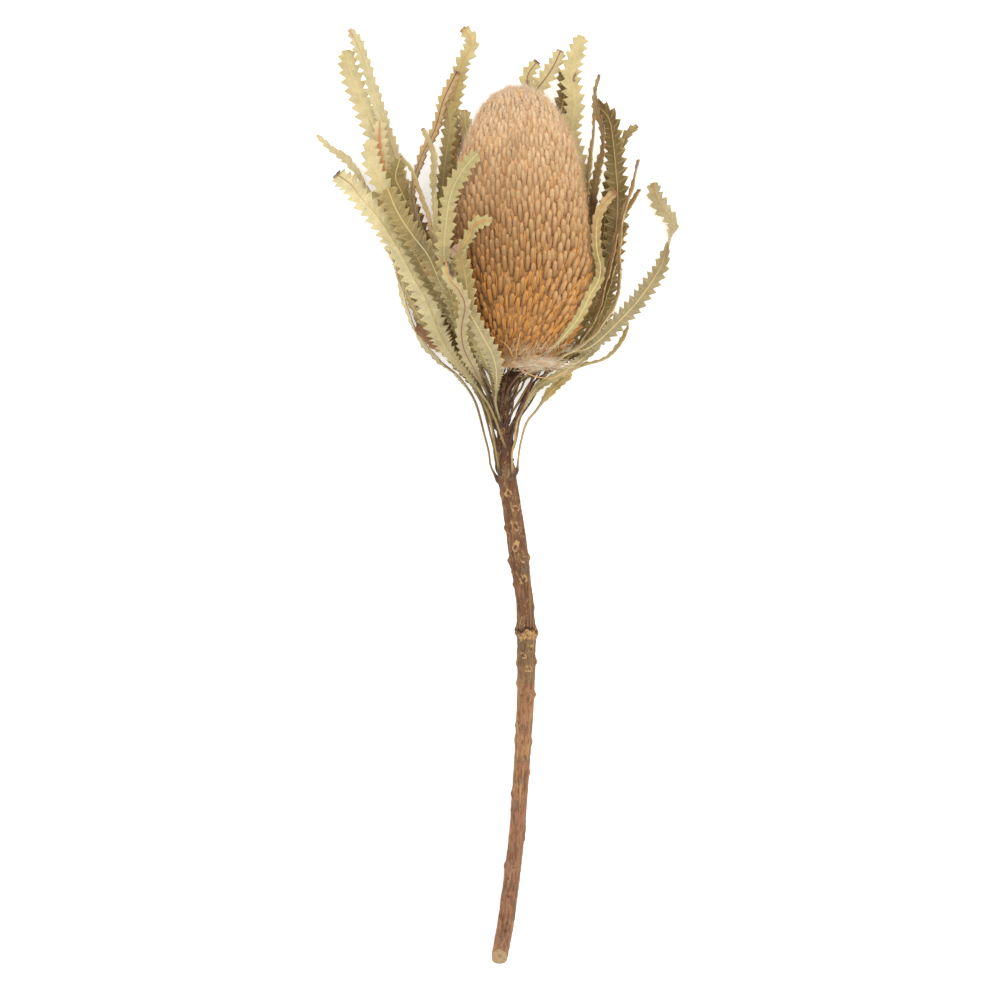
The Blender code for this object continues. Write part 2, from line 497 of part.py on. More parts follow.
def part_stalks(points, owner, one, two):
    """Moves that bring the stalks apart sideways and upwards, where two of them run too close."""
    away = points[one] - points[two]
    level = np.abs(away[:, 1]) < STALK_LEVEL
    away[:, 1] = 0.0
    dist = np.linalg.norm(away, axis=1)
    share, most = STALK_PUSH
    lack = np.where(level, np.clip(2 * STALK_CLEAR - dist, 0.0, None), 0.0) * share
    shift = away / np.maximum(dist, CLOSE)[:, None] * lack[:, None]
    moves = np.zeros_like(points)
    np.add.at(moves, one, shift)
    np.add.at(moves, two, -shift)
    moves = np.clip(moves, -most, most)
    for k in (0, 2):
        moves[:, k] = smooth_run(moves[:, k], owner, 1)
    return moves


def spread_leaves(lines):
    """Lift and lower the leaves' lines until blades, stalks, cone, stem and ground are clear."""
    names = list(lines)
    owner = np.concatenate([np.full(len(lines[n]), k) for k, n in enumerate(names)])
    starts = np.searchsorted(owner, np.arange(len(names) + 1))
    points = np.vstack([lines[n] for n in names])
    runs = [run_length(lines[n]) for n in names]
    half = np.concatenate([half_widths(r, LEAVES[n][1], LEAVES[n][2]) for n, r in zip(names, runs)])
    hold = np.concatenate([np.clip(r / HOLD_LENGTH, 0.0, 1.0) for r in runs])
    clear = np.where(half <= STALK_HALF, STALK_CLEAR, BLADE_CLEAR)
    stem = smooth_curve(STEM_ROUTE, STEM_FINE)
    base, _, _, up = cone_frame()
    above = (points - base) @ up > 0
    flat = np.linalg.norm(points[:, None, :2] - points[None, :, :2], axis=2)
    near = (flat < half[:, None] + half[None] + BLADE_NEAR) & (owner[:, None] < owner[None])
    thin = half <= STALK_HALF
    stalk_one, stalk_two = np.nonzero((flat < STALK_NEAR) & thin[:, None] & thin & (owner[:, None] < owner))
    one, two = np.nonzero(near & ~(thin[:, None] & thin))
    order = pair_order(points, owner, one, two)[owner[one], owner[two]]
    need = (clear[one] + clear[two])[:, None, None]
    blade_share_made, blade_most = BLADE_PUSH
    cone_share_made, cone_most = CONE_PUSH
    for _ in range(SPREAD_ROUNDS):
        side = np.vstack([
            leaf_sides(points[a:b], run_length(points[a:b]), LEAVES[n][3])[0]
            for n, a, b in zip(names, starts, starts[1:])])
        balls = points[:, None] + side[:, None] * (half[:, None] * ACROSS)[..., None]
        first, second = balls[one][:, :, None], balls[two][:, None]
        beside = ((first[..., :2] - second[..., :2]) ** 2).sum(axis=3)
        wanted = np.sqrt(np.clip(need ** 2 - beside, 0.0, None))
        lack = wanted - order[:, None, None] * (first[..., 2] - second[..., 2])
        lack = np.where(wanted > 0, lack, 0.0).max(axis=(1, 2)).clip(0.0, blade_most) * blade_share_made
        raise_by, lower_by = np.zeros(len(points)), np.zeros(len(points))
        np.maximum.at(raise_by, np.where(order > 0, one, two), lack)
        np.maximum.at(lower_by, np.where(order > 0, two, one), lack)
        points[:, 2] += smooth_run(raise_by - lower_by, owner, 2) * hold
        points += part_stalks(points, owner, stalk_one, stalk_two) * hold[:, None]
        lifts = cone_lift(balls.reshape(-1, 3), np.repeat(above, len(ACROSS)), CONE_CLEAR)
        lifts = lifts.reshape(-1, len(ACROSS))
        lift = np.where(above, lifts.max(axis=1), lifts.min(axis=1))
        lift = np.clip(lift, -cone_most, cone_most) * cone_share_made
        points[:, 2] += smooth_run(lift, owner, 1) * hold
        away = points[:, None] - stem[None, :, :3]
        dist = np.linalg.norm(away, axis=2)
        nearest = dist.argmin(axis=1)
        row = np.arange(len(points))
        lack = stem[nearest, 3] / 2 + STEM_CLEAR + STALK_HALF - dist[row, nearest]
        points += (unit(away[row, nearest]) * np.clip(lack, 0.0, None)[:, None]) * hold[:, None]
        lowest = balls[:, :, 2].min(axis=1) - points[:, 2]
        points[:, 2] = np.maximum(points[:, 2], RIB_HALF - lowest)
    return {n: points[a:b] for n, a, b in zip(names, starts, starts[1:])}


def make_leaf(name, line):
    """A leaf: a thin stalk, then a blade with a raised rib, cut into saw teeth on both edges."""
    _, stalk, width, turns, _ = LEAVES[name]
    line = smooth_curve(line, LINE_STEP)
    run = run_length(line)
    side, out = leaf_sides(line, run, turns)
    half = half_widths(run, stalk, width)
    whole = np.column_stack([line, side, out, half])
    stalk_at = np.linspace(0.0, stalk, max(3, round(stalk / STALK_PITCH) + 1))
    teeth = max(3, round((run[-1] - stalk) / TOOTH_PITCH))
    blade_at = np.linspace(stalk, run[-1], teeth + 1)
    tooth_at = blade_at[:-1] + TOOTH_LEAN * np.diff(blade_at)
    verts, faces = [], []

    def ring(values, notch, thick):
        centre, across, normal, reach = values[:3], unit(values[3:6]), unit(values[6:9]), values[9] * notch
        edge = max(reach, STALK_HALF)
        cup = BLADE_CUP * (edge - STALK_HALF) * normal
        start = len(verts)
        verts.extend([centre + thick * normal, centre + edge * across + cup,
                      centre - thick * normal, centre - edge * across + cup])
        return start

    def join(a, b):
        for k in range(4):
            after = (k + 1) % 4
            faces.extend([(a + k, a + after, b + after), (a + k, b + after, b + k)])

    rings = [ring(v, 1.0, STALK_HALF) for v in along(whole, run, stalk_at[:-1])]
    rings += [ring(v, TOOTH_NOTCH, RIB_HALF) for v in along(whole, run, blade_at)]
    first_blade = len(stalk_at) - 1
    for a, b in zip(rings[:first_blade], rings[1:first_blade + 1]):
        join(a, b)
    for a, b, values in zip(rings[first_blade:], rings[first_blade + 1:], along(whole, run, tooth_at)):
        centre, across, normal, reach = values[:3], unit(values[3:6]), unit(values[6:9]), values[9]
        cup = BLADE_CUP * reach * normal
        right = len(verts)
        verts.extend([centre + reach * across + cup, centre - reach * across + cup])
        left = right + 1
        faces.extend([
            (a, a + 1, right), (a, right, b), (b, right, b + 1),
            (a + 2, right, a + 1), (a + 2, b + 2, right), (b + 2, b + 1, right),
            (a, left, a + 3), (a, b, left), (b, b + 3, left),
            (a + 2, a + 3, left), (a + 2, left, b + 2), (b + 2, left, b + 3)])
    foot, tip = rings[0], rings[-1]
    faces.extend([(foot, foot + 3, foot + 2), (foot, foot + 2, foot + 1)])
    faces.extend([(tip, tip + 1, tip + 2), (tip, tip + 2, tip + 3)])
    for point in verts:
        point[2] = max(point[2], 0.0)
    return add_object(name, verts, faces, "leaf")


def main():
    """Build the whole object from an empty scene."""
    for thing in list(bpy.data.objects):
        bpy.data.objects.remove(thing, do_unlink=True)
    make_stem()
    make_cone()
    for name, line in spread_leaves(leaf_lines()).items():
        make_leaf(name, line)


main()
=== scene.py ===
"""Looks of the dried banksia cone on its stem: florets, wool, bark and toothed leaves."""

import math

import bpy
import numpy as np
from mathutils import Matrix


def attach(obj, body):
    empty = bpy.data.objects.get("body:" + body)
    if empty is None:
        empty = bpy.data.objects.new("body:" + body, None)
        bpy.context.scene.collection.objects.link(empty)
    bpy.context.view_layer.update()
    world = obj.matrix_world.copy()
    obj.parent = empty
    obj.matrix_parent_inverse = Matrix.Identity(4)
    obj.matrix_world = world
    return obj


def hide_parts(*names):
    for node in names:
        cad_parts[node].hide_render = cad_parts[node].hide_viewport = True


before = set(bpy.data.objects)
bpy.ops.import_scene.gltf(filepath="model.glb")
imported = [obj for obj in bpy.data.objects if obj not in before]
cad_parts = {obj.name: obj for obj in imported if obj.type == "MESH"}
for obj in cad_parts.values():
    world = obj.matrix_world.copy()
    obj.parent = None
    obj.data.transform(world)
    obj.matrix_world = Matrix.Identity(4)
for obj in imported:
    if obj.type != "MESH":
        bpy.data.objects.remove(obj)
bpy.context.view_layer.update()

MM = 0.001
CURVE_FINE = 12
# The stem from its cut end to the cone: x, y, z of its middle and its thickness.
STEM_ROUTE = [
    (1.8, -208.0, 3.45, 7.2), (5.4, -187.0, 5.4, 7.4), (9.6, -154.0, 8.2, 7.0), (11.8, -122.0, 10.9, 7.0),
    (13.5, -90.0, 13.5, 7.6), (13.8, -62.0, 15.9, 8.4), (13.0, -46.0, 17.2, 7.4), (10.4, -25.0, 18.9, 8.4),
    (7.2, -3.0, 20.6, 8.2), (4.8, 12.0, 21.8, 7.6), (3.8, 24.0, 22.7, 6.0), (3.1, 34.0, 23.4, 5.4),
    (3.1, 44.0, 24.2, 4.8), (5.2, 51.0, 24.8, 4.8), (8.6, 54.8, 25.1, 5.2), (11.5, 57.0, 25.4, 5.6),
]
STEM_STEP = 5.0
# Ridges of the bark: how many, how deep in parts of the radius, and their twist per millimetre.
BARK_RIDGES = [(3, 0.035, 0.05), (5, 0.0175, -0.03)]
CUT_SLOPE = 1.0
# Height and length of a scar in millimetres and its spread round the stem in radians.
SCAR_SIZE = (0.75, 2.6, 0.6)
# Scars of fallen leaves: y along the stem and degrees round it, 0 to the right and 90 up.
SCARS = [
    (2, 100), (-5, 70), (-8, 215), (-13, 88), (-22, 105), (-28, 60), (-32, 190), (-37, 82), (-46, 20),
    (-68, 62), (-71, 110), (-77, 78), (-83, 118), (-88, 55), (-98, 84), (-102, 130), (-119, 100),
    (-124, 60), (-133, 125), (-147, 72), (-163, 105), (-167, 88), (-172, 118), (-180, 100), (-192, 88),
    (-199, 105), (-60, 180), (-60, 0), (-110, 200), (-150, 350),
]
# The node ring: its y, height and length.
STEM_RING = (-61.0, 0.8, 1.6)

# The cone: its axis, and its outline as distance along the axis and radius over the floret tips.
CONE_BASE = (12.4, 58.5, 25.8)
CONE_TIP = (9.7, 184.0, 35.5)
CONE_OUTLINE = [
    (0.0, 11.5), (3.2, 15.5), (7.7, 20.2), (13.5, 24.4), (23.4, 28.2), (31.0, 30.2), (45.5, 31.5),
    (57.0, 31.5), (68.4, 31.0), (80.0, 29.7), (91.0, 27.7), (99.0, 25.4), (106.0, 22.5), (113.4, 18.6),
    (118.0, 15.4), (121.6, 11.6), (124.2, 7.0),
]

# Leaves: thickness of stalk and rib, the blade's cup, and where the blade widens and ends.
STALK_HALF = 0.8
RIB_HALF = 0.6
BLADE_CUP = 0.12
SWELL_SHARE = 0.3
BASE_WIDTH = 0.3
TIP_SHARE = 0.08
TIP_WIDTH = 0.6
GAP = 0.3

# Each leaf: where its stalk meets the stem (y, degrees round it), stalk length, blade width, the
# blade's turn about its own line at even steps from stalk to tip, and its line from stalk to tip.
LEAVES = {
    "leaf_left_outer": ((9, 180), 40, 8.0, (70, 75, 75, 80), [
        (-1, 16, 19), (-5, 28, 17), (-8, 41, 15), (-16, 53.5, 13), (-26, 62, 12), (-34, 71.5, 11),
        (-39, 82, 10), (-42.5, 93, 10), (-45, 104, 11), (-49, 113, 12)]),
    "leaf_left_low": ((15, 238), 34, 7.5, (30, 45, 60, 60), [
        (-4, 38, 15), (-10, 50, 12), (-18, 67, 10), (-28, 86, 8.5), (-38, 105, 7), (-50, 124, 6),
        (-60, 142.5, 5), (-67, 152.5, 6), (-73, 157, 7), (-81, 163.5, 8)]),
    "leaf_left_big": ((22, 82), 34, 12.0, (20, 5, 0, -10, -20), [
        (2, 29, 30.5), (-1, 37, 32), (-5.5, 46, 33.5), (-13, 55, 32.5), (-23, 68.5, 30.5), (-31, 88, 27),
        (-36, 97, 23), (-44, 112, 19), (-53, 126, 14), (-60.5, 134.5, 9), (-65.5, 141, 6),
        (-72, 146, 2)]),
    "leaf_left_folded": ((36, 150), 20, 12.0, (50, 65, 75, 45, 10, 0), [
        (-3.5, 46, 24.5), (-7, 57, 28), (-12, 68.5, 32), (-16.5, 82, 35), (-20, 89, 36),
        (-24.5, 96, 36), (-27, 102, 35), (-30.5, 109, 34), (-37.5, 118, 31), (-44, 128, 28),
        (-48.5, 138.5, 25)]),
    "leaf_left_inner": ((33, 182), 28, 11.0, (20, 10, 0, 0, 10), [
        (-5, 46, 21.5), (-9, 59, 20.5), (-14.5, 73, 20), (-20, 88, 20), (-25, 100, 20), (-30, 112, 20),
        (-35, 121, 20), (-38.5, 129, 21), (-42.5, 138, 22), (-45, 144, 22), (-43, 152, 22)]),
    "leaf_left_stalked": ((23, 150), 32, 6.2, (30, 10, 0, 0), [
        (-2.2, 34, 25.5), (-3.2, 40, 27.5), (-5, 48, 35), (-9.5, 57, 44), (-14, 66, 51.5),
        (-15, 75, 56), (-13.5, 85, 57), (-16.5, 92, 55), (-20.5, 97, 52), (-22, 104.5, 49)]),
    "leaf_front_left": ((34, 104), 16, 9.5, (10, 20, 25, 25), [
        (0, 42, 32), (0.5, 49, 36), (0.5, 57, 41), (-1.5, 64, 45), (-7, 74, 48.5), (-12, 84, 50),
        (-12.5, 93, 51), (-14, 101.5, 51), (-16, 107.5, 50), (-19, 111, 48)]),
    "leaf_front_left_short": ((38, 128), 22, 8.5, (10, 20, 25), [
        (-1.5, 47, 32), (-3, 57, 39), (-7, 68, 45), (-10, 75.5, 48), (-14.5, 83.5, 50)]),
    "leaf_left_lower": ((12, 130), 38, 4.8, (20, 10, 0), [
        (0, 21, 27), (-1.5, 30, 28.5), (-4.5, 42, 30), (-11, 53, 29.5), (-20, 64.5, 26), (-27, 68, 24),
        (-32, 73, 22), (-36, 76.5, 20)]),
    "leaf_left_olive": ((13, 208), 36, 8.0, (50, 60, 60), [
        (-3, 34, 16), (-8, 47, 14), (-15, 60.5, 13), (-25, 70.5, 13), (-34, 81, 14), (-39.5, 92, 15),
        (-44, 104, 16)]),
    "leaf_left_grey": ((27, 248), 25, 7.0, (50, 60), [
        (-4, 44, 13), (-12, 53.5, 10), (-22.5, 65, 8), (-33.5, 76.5, 7), (-37, 92, 8)]),
    "leaf_upper_left_first": ((38, 214), 25, 9.5, (10, 20, 45, 45), [
        (-3.5, 50, 13), (-10.5, 62, 9.5), (-18, 80, 7.5), (-26, 100, 7), (-33, 118, 8), (-39.5, 136, 9),
        (-44.5, 151.5, 10), (-51, 172, 11), (-55, 183, 12), (-58, 194, 13), (-62.5, 205.5, 14),
        (-66, 211, 15)]),
    "leaf_upper_left_second": ((36, 242), 25, 11.5, (0, 10, 10, 10), [
        (-5, 49, 11), (-13.5, 65, 6), (-22, 85, 3), (-30.5, 104.5, 1.5), (-38.5, 122.5, 1),
        (-45, 138, 2), (-49.5, 152.5, 3), (-57, 170.5, 5), (-60.5, 179, 6), (-65.5, 192, 8),
        (-67.5, 202, 10)]),
    "leaf_left_brown_tip": ((25, 216), 30, 9.0, (20, 20, 10, 10), [
        (-5, 46, 13), (-13.5, 59.5, 12), (-24, 75, 12), (-34, 92, 12.5), (-43, 109, 13),
        (-49, 122.5, 13.5), (-51.5, 134, 14), (-50, 145, 15), (-52, 156, 16), (-52, 169.5, 17)]),
    "leaf_left_toothed": ((45, 192), 34, 10.0, (0, 5, 10, 10), [
        (-4, 54, 22), (-9, 63, 22), (-17, 76, 20.5), (-25, 90, 21.5), (-34, 106, 24), (-43, 122.5, 24.5),
        (-48.5, 136, 24), (-53.5, 145, 23), (-56, 153, 22), (-56, 161, 21)]),
    "leaf_top_tall": ((48, 214), 40, 8.5, (20, 20, 20, 10, 0), [
        (-3, 56, 16), (-10, 64, 13), (-20, 81, 9.5), (-24, 98, 9.5), (-25, 115.5, 12), (-23, 131.5, 14),
        (-19.5, 145, 15), (-18, 156, 17), (-19, 168, 20), (-18.5, 178, 23.5), (-16.5, 187, 26),
        (-14.8, 195, 28), (-11.5, 201, 30), (-11.2, 206, 31), (-15, 210.3, 31.5)]),
    "leaf_top_dark": ((34, 206), 22, 7.5, (30, 40, 60, 30), [
        (-3.5, 46, 22), (-9, 58, 24.5), (-17, 75, 26), (-25, 93, 26.5), (-31.5, 111, 26.5),
        (-36, 127, 26), (-37, 140, 25), (-32.5, 154, 24), (-27, 165, 23.5), (-23.5, 177, 24),
        (-20.5, 184, 25), (-17, 191, 26)]),
    "leaf_top_olive": ((52, 200), 30, 8.5, (20, 20, 40, 20), [
        (-2, 57, 20), (-10, 67, 17.5), (-20, 86, 18.5), (-24.5, 104.5, 18.5), (-25.5, 120, 17),
        (-24, 135.5, 19), (-22.5, 149.5, 21), (-21, 162, 22), (-20.5, 168, 22), (-22, 178.5, 23)]),
    "leaf_beside_dome": ((48, 236), 12, 8.0, (20, 20, 10, 0), [
        (-1, 59, 14), (-8, 72, 10), (-13.5, 90, 7), (-16, 110, 6), (-15.5, 130, 7), (-13.5, 146, 10),
        (-12.5, 160, 15), (-13.5, 168, 18), (-14, 174.5, 20)]),
    "leaf_over_cone": ((47, 135), 20, 10.5, (60, 50, 40, 30, 30), [
        (-3, 47, 28), (-7, 57, 31), (-12, 68, 34), (-17, 82, 37), (-21, 95.5, 39), (-22.5, 106, 40),
        (-22.5, 115, 41), (-21.5, 124, 43), (-20, 134, 47), (-16, 143, 51), (-11.5, 149, 54),
        (-7.5, 153, 56)]),
    "leaf_top_narrow": ((50, 165), 18, 6.5, (30, 60, 60), [
        (-3, 56, 26.5), (-11.5, 65, 29), (-17.5, 79, 32), (-22, 97.5, 34), (-25.5, 113, 34),
        (-27, 128, 34), (-27.5, 142.5, 33), (-28, 155, 33), (-32.5, 165.5, 33)]),
    "leaf_left_edge_on": ((41, 178), 26, 6.5, (40, 60, 75), [
        (-5.5, 51, 23.5), (-10.5, 61, 26), (-17, 76, 28.5), (-22, 95, 30), (-26.5, 111, 30),
        (-30.5, 127, 30), (-33.5, 136, 30), (-36.5, 145, 30), (-42.5, 153, 29)]),
    "leaf_small_over_cone": ((43, 112), 20, 7.5, (20, 30, 40, 20), [
        (-2.5, 50, 31.5), (-8.5, 59.5, 37.5), (-14, 75, 45), (-16.5, 88.5, 49), (-17.5, 100, 49),
        (-15, 110, 51), (-11.5, 116.5, 55), (-9, 121, 58), (-5, 122.5, 60.5), (-1.5, 123, 62)]),
    "leaf_right_big": ((46, 28), 40, 9.5, (-10, -15, -20, -20, -15, -10, -5, 0, 5, 20, 60, 130, 165, 170), [
        (9.5, 51.5, 29), (15, 55.5, 35), (21.5, 59.5, 39.5), (29, 65, 39), (39.5, 66, 36), (46, 70, 31),
        (54, 77.5, 24), (63, 87, 16), (70.5, 97, 10), (76, 106.5, 5.5), (79, 117.5, 4), (80, 124, 4),
        (76.5, 129.5, 6), (72.5, 136, 8), (71.5, 142, 10)]),
    "leaf_right_thin": ((41, 0), 24, 7.0, (70, 75, 75), [
        (9, 49, 21), (16, 55, 19), (22.5, 57.5, 17), (33, 57.5, 14), (41.5, 60, 12), (49.5, 62.5, 10),
        (54, 67, 9), (58, 71.5, 8), (60, 77.5, 8)]),
    "leaf_right_dark": ((24, 340), 40, 11.5, (20, 10, 0, 0, 10, 30), [
        (9.5, 37, 18), (11.5, 41.5, 17), (15, 46.5, 15.5), (20, 52.5, 14), (25, 58, 13), (33, 63, 13),
        (40, 68.5, 14), (46.5, 79, 17), (49.5, 90, 19), (52.5, 106, 21), (54.5, 122.5, 23),
        (55, 136, 23), (54, 150, 22), (53, 160.5, 22), (51.5, 169.5, 22), (48, 174.5, 22),
        (44.5, 176.5, 21)]),
    "leaf_right_front": ((46, 62), 32, 5.0, (0, -10, 0), [
        (9.5, 53, 30), (14, 57, 35), (20.5, 62.5, 42.5), (25.5, 66.5, 45), (32, 73.5, 46.5),
        (38, 81.5, 44), (42, 90, 42), (46, 97, 40), (47, 103, 38), (45.5, 110, 37), (45, 118, 36.5),
        (46, 126, 35.5), (49.5, 132.5, 35), (54, 137, 34)]),
    "leaf_right_shaded": ((35, 326), 24, 8.0, (30, 20, 10, 30, 70, 70), [
        (9, 50, 17), (17.5, 55.5, 13.5), (28.5, 63.5, 12.5), (37, 75, 15.5), (43, 89, 19), (45, 104.5, 23),
        (44, 118, 25), (44, 131.5, 27), (45, 142, 28), (47.5, 152, 28), (48.5, 160, 27),
        (47.5, 167, 26), (45, 176, 25), (45, 182.5, 25), (46.5, 190, 25)]),
    "leaf_right_pale": ((43, 332), 16, 7.0, (60, 75, 75), [
        (12, 55.5, 20), (20, 59, 16), (28, 67, 13), (35, 79, 14), (39.5, 93, 16), (42.5, 108, 19),
        (42.5, 122, 21), (41.5, 138, 23), (42.5, 150, 24), (44, 162, 24), (44.5, 174.5, 24)]),
    "leaf_behind_right": ((47, 308), 16, 10.5, (-10, -15, -10, 0, 0), [
        (9, 56, 14), (16, 62, 10.5), (28, 70, 9.5), (38, 81, 9.5), (42, 97.5, 10.5), (43, 115.5, 11.5),
        (41, 133.5, 12.5), (37, 151.5, 14), (34, 162, 16), (34.5, 170, 18), (35.5, 177.5, 19),
        (34, 190, 21), (36.5, 200.5, 23), (39, 207.5, 24)]),
    "leaf_behind_right_short": ((49, 284), 14, 9.0, (-10, -10, 0, 0), [
        (8.5, 59, 12), (16, 66, 7.5), (28, 76, 6), (35.5, 92, 6), (38.5, 110, 6.5), (37, 128, 8),
        (33, 147, 10), (29.5, 163, 13), (29.5, 173.5, 15), (31.5, 183.5, 16), (30, 192, 17)]),
    "leaf_behind_dome": ((51, 258), 14, 8.5, (0, 0, 0, 0), [
        (8.5, 61, 9), (17, 69, 4.5), (27, 81, 2), (33, 95, 1.5), (35, 110, 1.5), (33, 127, 2),
        (27, 143, 3.5), (20.5, 158, 6), (16, 172, 10), (15, 182.5, 12), (14.5, 190, 13),
        (19, 196.5, 14)]),
    "leaf_behind_dome_slant": ((43, 262), 14, 9.0, (0, 0, 0, 0), [
        (2, 60, 11), (-6, 71, 6), (-14, 88, 3.5), (-18, 108, 2.5), (-16, 126, 3), (-10, 141, 4),
        (-2, 155, 6), (6.5, 170, 9), (17, 182, 12), (25, 192.5, 14), (29.5, 201.5, 15)]),
    "leaf_right_narrow_first": ((36, 28), 34, 6.0, (60, 70, 75, 75), [
        (10, 42, 25), (14, 49, 26), (20, 57, 27), (29, 62, 28), (42.5, 71, 28), (48.5, 78, 29),
        (53.5, 87, 30), (56, 98, 31), (55.5, 108, 31), (56, 118, 31), (58, 128, 30), (61, 138, 29),
        (63, 146, 27), (64.5, 151.5, 25)]),
    "leaf_right_narrow_second": ((26, 34), 36, 6.0, (60, 70, 70), [
        (9.5, 38, 24), (13, 45, 24), (18, 52, 23.5), (27, 58, 23), (38, 69.5, 24.5), (46, 84, 25.5),
        (50.5, 100, 27), (53.5, 113.5, 27), (57, 124, 26), (60.5, 131.5, 25), (65, 138, 24)]),
    "leaf_right_narrow_third": ((23, 8), 38, 6.0, (60, 70, 70), [
        (10.5, 34, 20), (14, 43, 20), (18, 50, 20), (26, 59, 20), (36, 68, 21), (45, 80, 23.5),
        (50, 92, 25), (54, 105, 26), (57, 117, 26), (60, 122, 25)]),
    "leaf_right_behind": ((37, 300), 22, 8.5, (10, 10, 20, 50), [
        (9, 53, 15.5), (19, 60, 11), (30, 69, 9.5), (39.5, 80, 10), (45.5, 93, 11), (48, 109, 12.5),
        (49.5, 124.5, 13.5), (51.5, 140.5, 14.5), (54, 153, 15), (58, 161, 15.5), (61, 165, 16),
        (64, 167.5, 16)]),
    "leaf_right_lowest": ((12, 0), 32, 5.0, (40, 30, 20), [
        (10.5, 19, 20.5), (11.5, 25, 20), (14, 33.5, 19), (18, 38.5, 18), (22, 44, 17), (25.5, 48, 16),
        (30, 52.5, 15), (34, 56, 14)]),
    "leaf_right_front_low": ((10, 62), 30, 4.5, (20, 10, 0), [
        (7.2, 18.5, 25.6), (8, 25, 26), (9.5, 33.5, 26.5), (12.5, 39.5, 26.5), (16.5, 46.5, 26),
        (20.5, 50.5, 25), (26, 53.5, 24), (33.5, 58, 22.5), (41, 64, 21), (47, 69, 20)]),
}

# Spreading of the leaves, so that no blade passes through another: steps and rounds, the room that
# blades, stalks, stem and cone keep, and the places across a blade that are tried.
SPREAD_STEP = 3.0
SPREAD_ROUNDS = 90
BLADE_CLEAR = 1.6
STALK_CLEAR = 1.15
STEM_CLEAR = 0.6
CONE_CLEAR = 1.2
ACROSS = np.array([-0.9, -0.45, 0.0, 0.45, 0.9])
HOLD_LENGTH = 9.0
STALK_LEVEL = 2.0
STALK_NEAR = 14.0
BLADE_NEAR = 1.0
STEM_FINE = 2.0
CLOSE = 0.05
# The share of a lack that one round makes up, and the most it moves, for stalks, blades and cone.
STALK_PUSH = (0.4, 0.8)
BLADE_PUSH = (0.5, 4.0)
CONE_PUSH = (0.7, 3.0)


def smooth_curve(points, step):
    """Points at even distances along a smooth curve through the given ones."""
    knots = np.array(points, float)
    knots = np.vstack([2 * knots[0] - knots[1], knots, 2 * knots[-1] - knots[-2]])
    fine = []
    for a, b, c, d in zip(knots, knots[1:], knots[2:], knots[3:]):
        for s in np.linspace(0.0, 1.0, CURVE_FINE, endpoint=False):
            fine.append(0.5 * (2 * b + (c - a) * s + (2 * a - 5 * b + 4 * c - d) * s ** 2
                               + (3 * b - a - 3 * c + d) * s ** 3))
    fine.append(knots[-2])
    fine = np.array(fine)
    run = run_length(fine)
    at = np.linspace(0.0, run[-1], max(2, round(run[-1] / step) + 1))
    return along(fine, run, at)


def run_length(line):
    """Distance along a line of points, starting at 0."""
    return np.concatenate([[0.0], np.cumsum(np.linalg.norm(np.diff(line[:, :3], axis=0), axis=1))])


def along(line, run, at):
    """The line's values at given distances along it."""
    return np.column_stack([np.interp(at, run, column) for column in line.T])


def unit(vectors):
    """Vectors of length 1."""
    return vectors / np.linalg.norm(vectors, axis=-1, keepdims=True)


def stem_line():
    """The stem's middle and thickness at even steps, from the cut end up."""
    return smooth_curve(STEM_ROUTE, STEM_STEP)


def stem_at(line, y):
    """The stem's middle and radius at a distance y along the object."""
    middle = [np.interp(y, line[:, 1], line[:, k]) for k in (0, 1, 2)]
    return np.array(middle), np.interp(y, line[:, 1], line[:, 3]) / 2


def bark_radius(y, angle, radius):
    """The stem's radius with its long ridges, its ring and the scars of fallen leaves."""
    radius *= 1 + sum(depth * math.sin(count * angle + twist * y) for count, depth, twist in BARK_RIDGES)
    ring_y, ring_height, ring_length = STEM_RING
    radius += ring_height * math.exp(-((y - ring_y) / ring_length) ** 2)
    height, length, spread = SCAR_SIZE
    for scar_y, scar_angle in SCARS:
        turn = math.remainder(angle - math.radians(scar_angle), 2 * math.pi)
        radius += height * math.exp(-((y - scar_y) / length) ** 2 - (turn / spread) ** 2)
    return radius


def cone_frame():
    """The cone's base point, its axis, and the two ways across it."""
    base, tip = np.array(CONE_BASE), np.array(CONE_TIP)
    axis = unit(tip - base)
    across = unit(np.cross(axis, (0.0, 0.0, 1.0)))
    return base, axis, across, np.cross(across, axis)


def blade_share(run, stalk):
    """How far each place is along the blade, from 0 at the end of the stalk to 1 at the tip."""
    return np.clip((run - stalk) / (run[-1] - stalk), 0.0, 1.0)


def half_widths(run, stalk, width):
    """Half the leaf's width along it: a thin stalk, a long blade and a blunt tip."""
    share = blade_share(run, stalk)
    swell = np.clip(share / SWELL_SHARE, 0.0, 1.0)
    swell = BASE_WIDTH + (1 - BASE_WIDTH) * swell * swell * (3 - 2 * swell)
    taper = np.clip((1 - share) / TIP_SHARE, 0.0, 1.0)
    half = width / 2 * swell * (TIP_WIDTH + (1 - TIP_WIDTH) * np.sqrt(taper))
    return np.where(run > stalk, np.maximum(half, STALK_HALF), STALK_HALF)


def leaf_sides(line, run, turns):
    """The ways across and out of the blade along a leaf's line."""
    forward = unit(np.gradient(line, run, axis=0))
    side = unit(np.cross(forward, (0.0, 0.0, 1.0)))
    out = np.cross(side, forward)
    turn = np.radians(np.interp(run / run[-1], np.linspace(0, 1, len(turns)), turns))[:, None]
    return side * np.cos(turn) + out * np.sin(turn), out * np.cos(turn) - side * np.sin(turn)


def leaf_lines():
    """Every leaf's line from its foot on the stem to its tip, before the leaves are spread."""
    stem = stem_line()
    lines = {}
    for name, (foot, _, _, _, route) in LEAVES.items():
        middle, radius = stem_at(stem, foot[0])
        angle = math.radians(foot[1])
        reach = bark_radius(foot[0], angle, radius) + GAP + STALK_HALF
        start = middle + reach * np.array([math.cos(angle), 0.0, math.sin(angle)])
        lines[name] = smooth_curve([start] + [np.array(p, float) for p in route], SPREAD_STEP)
    return lines


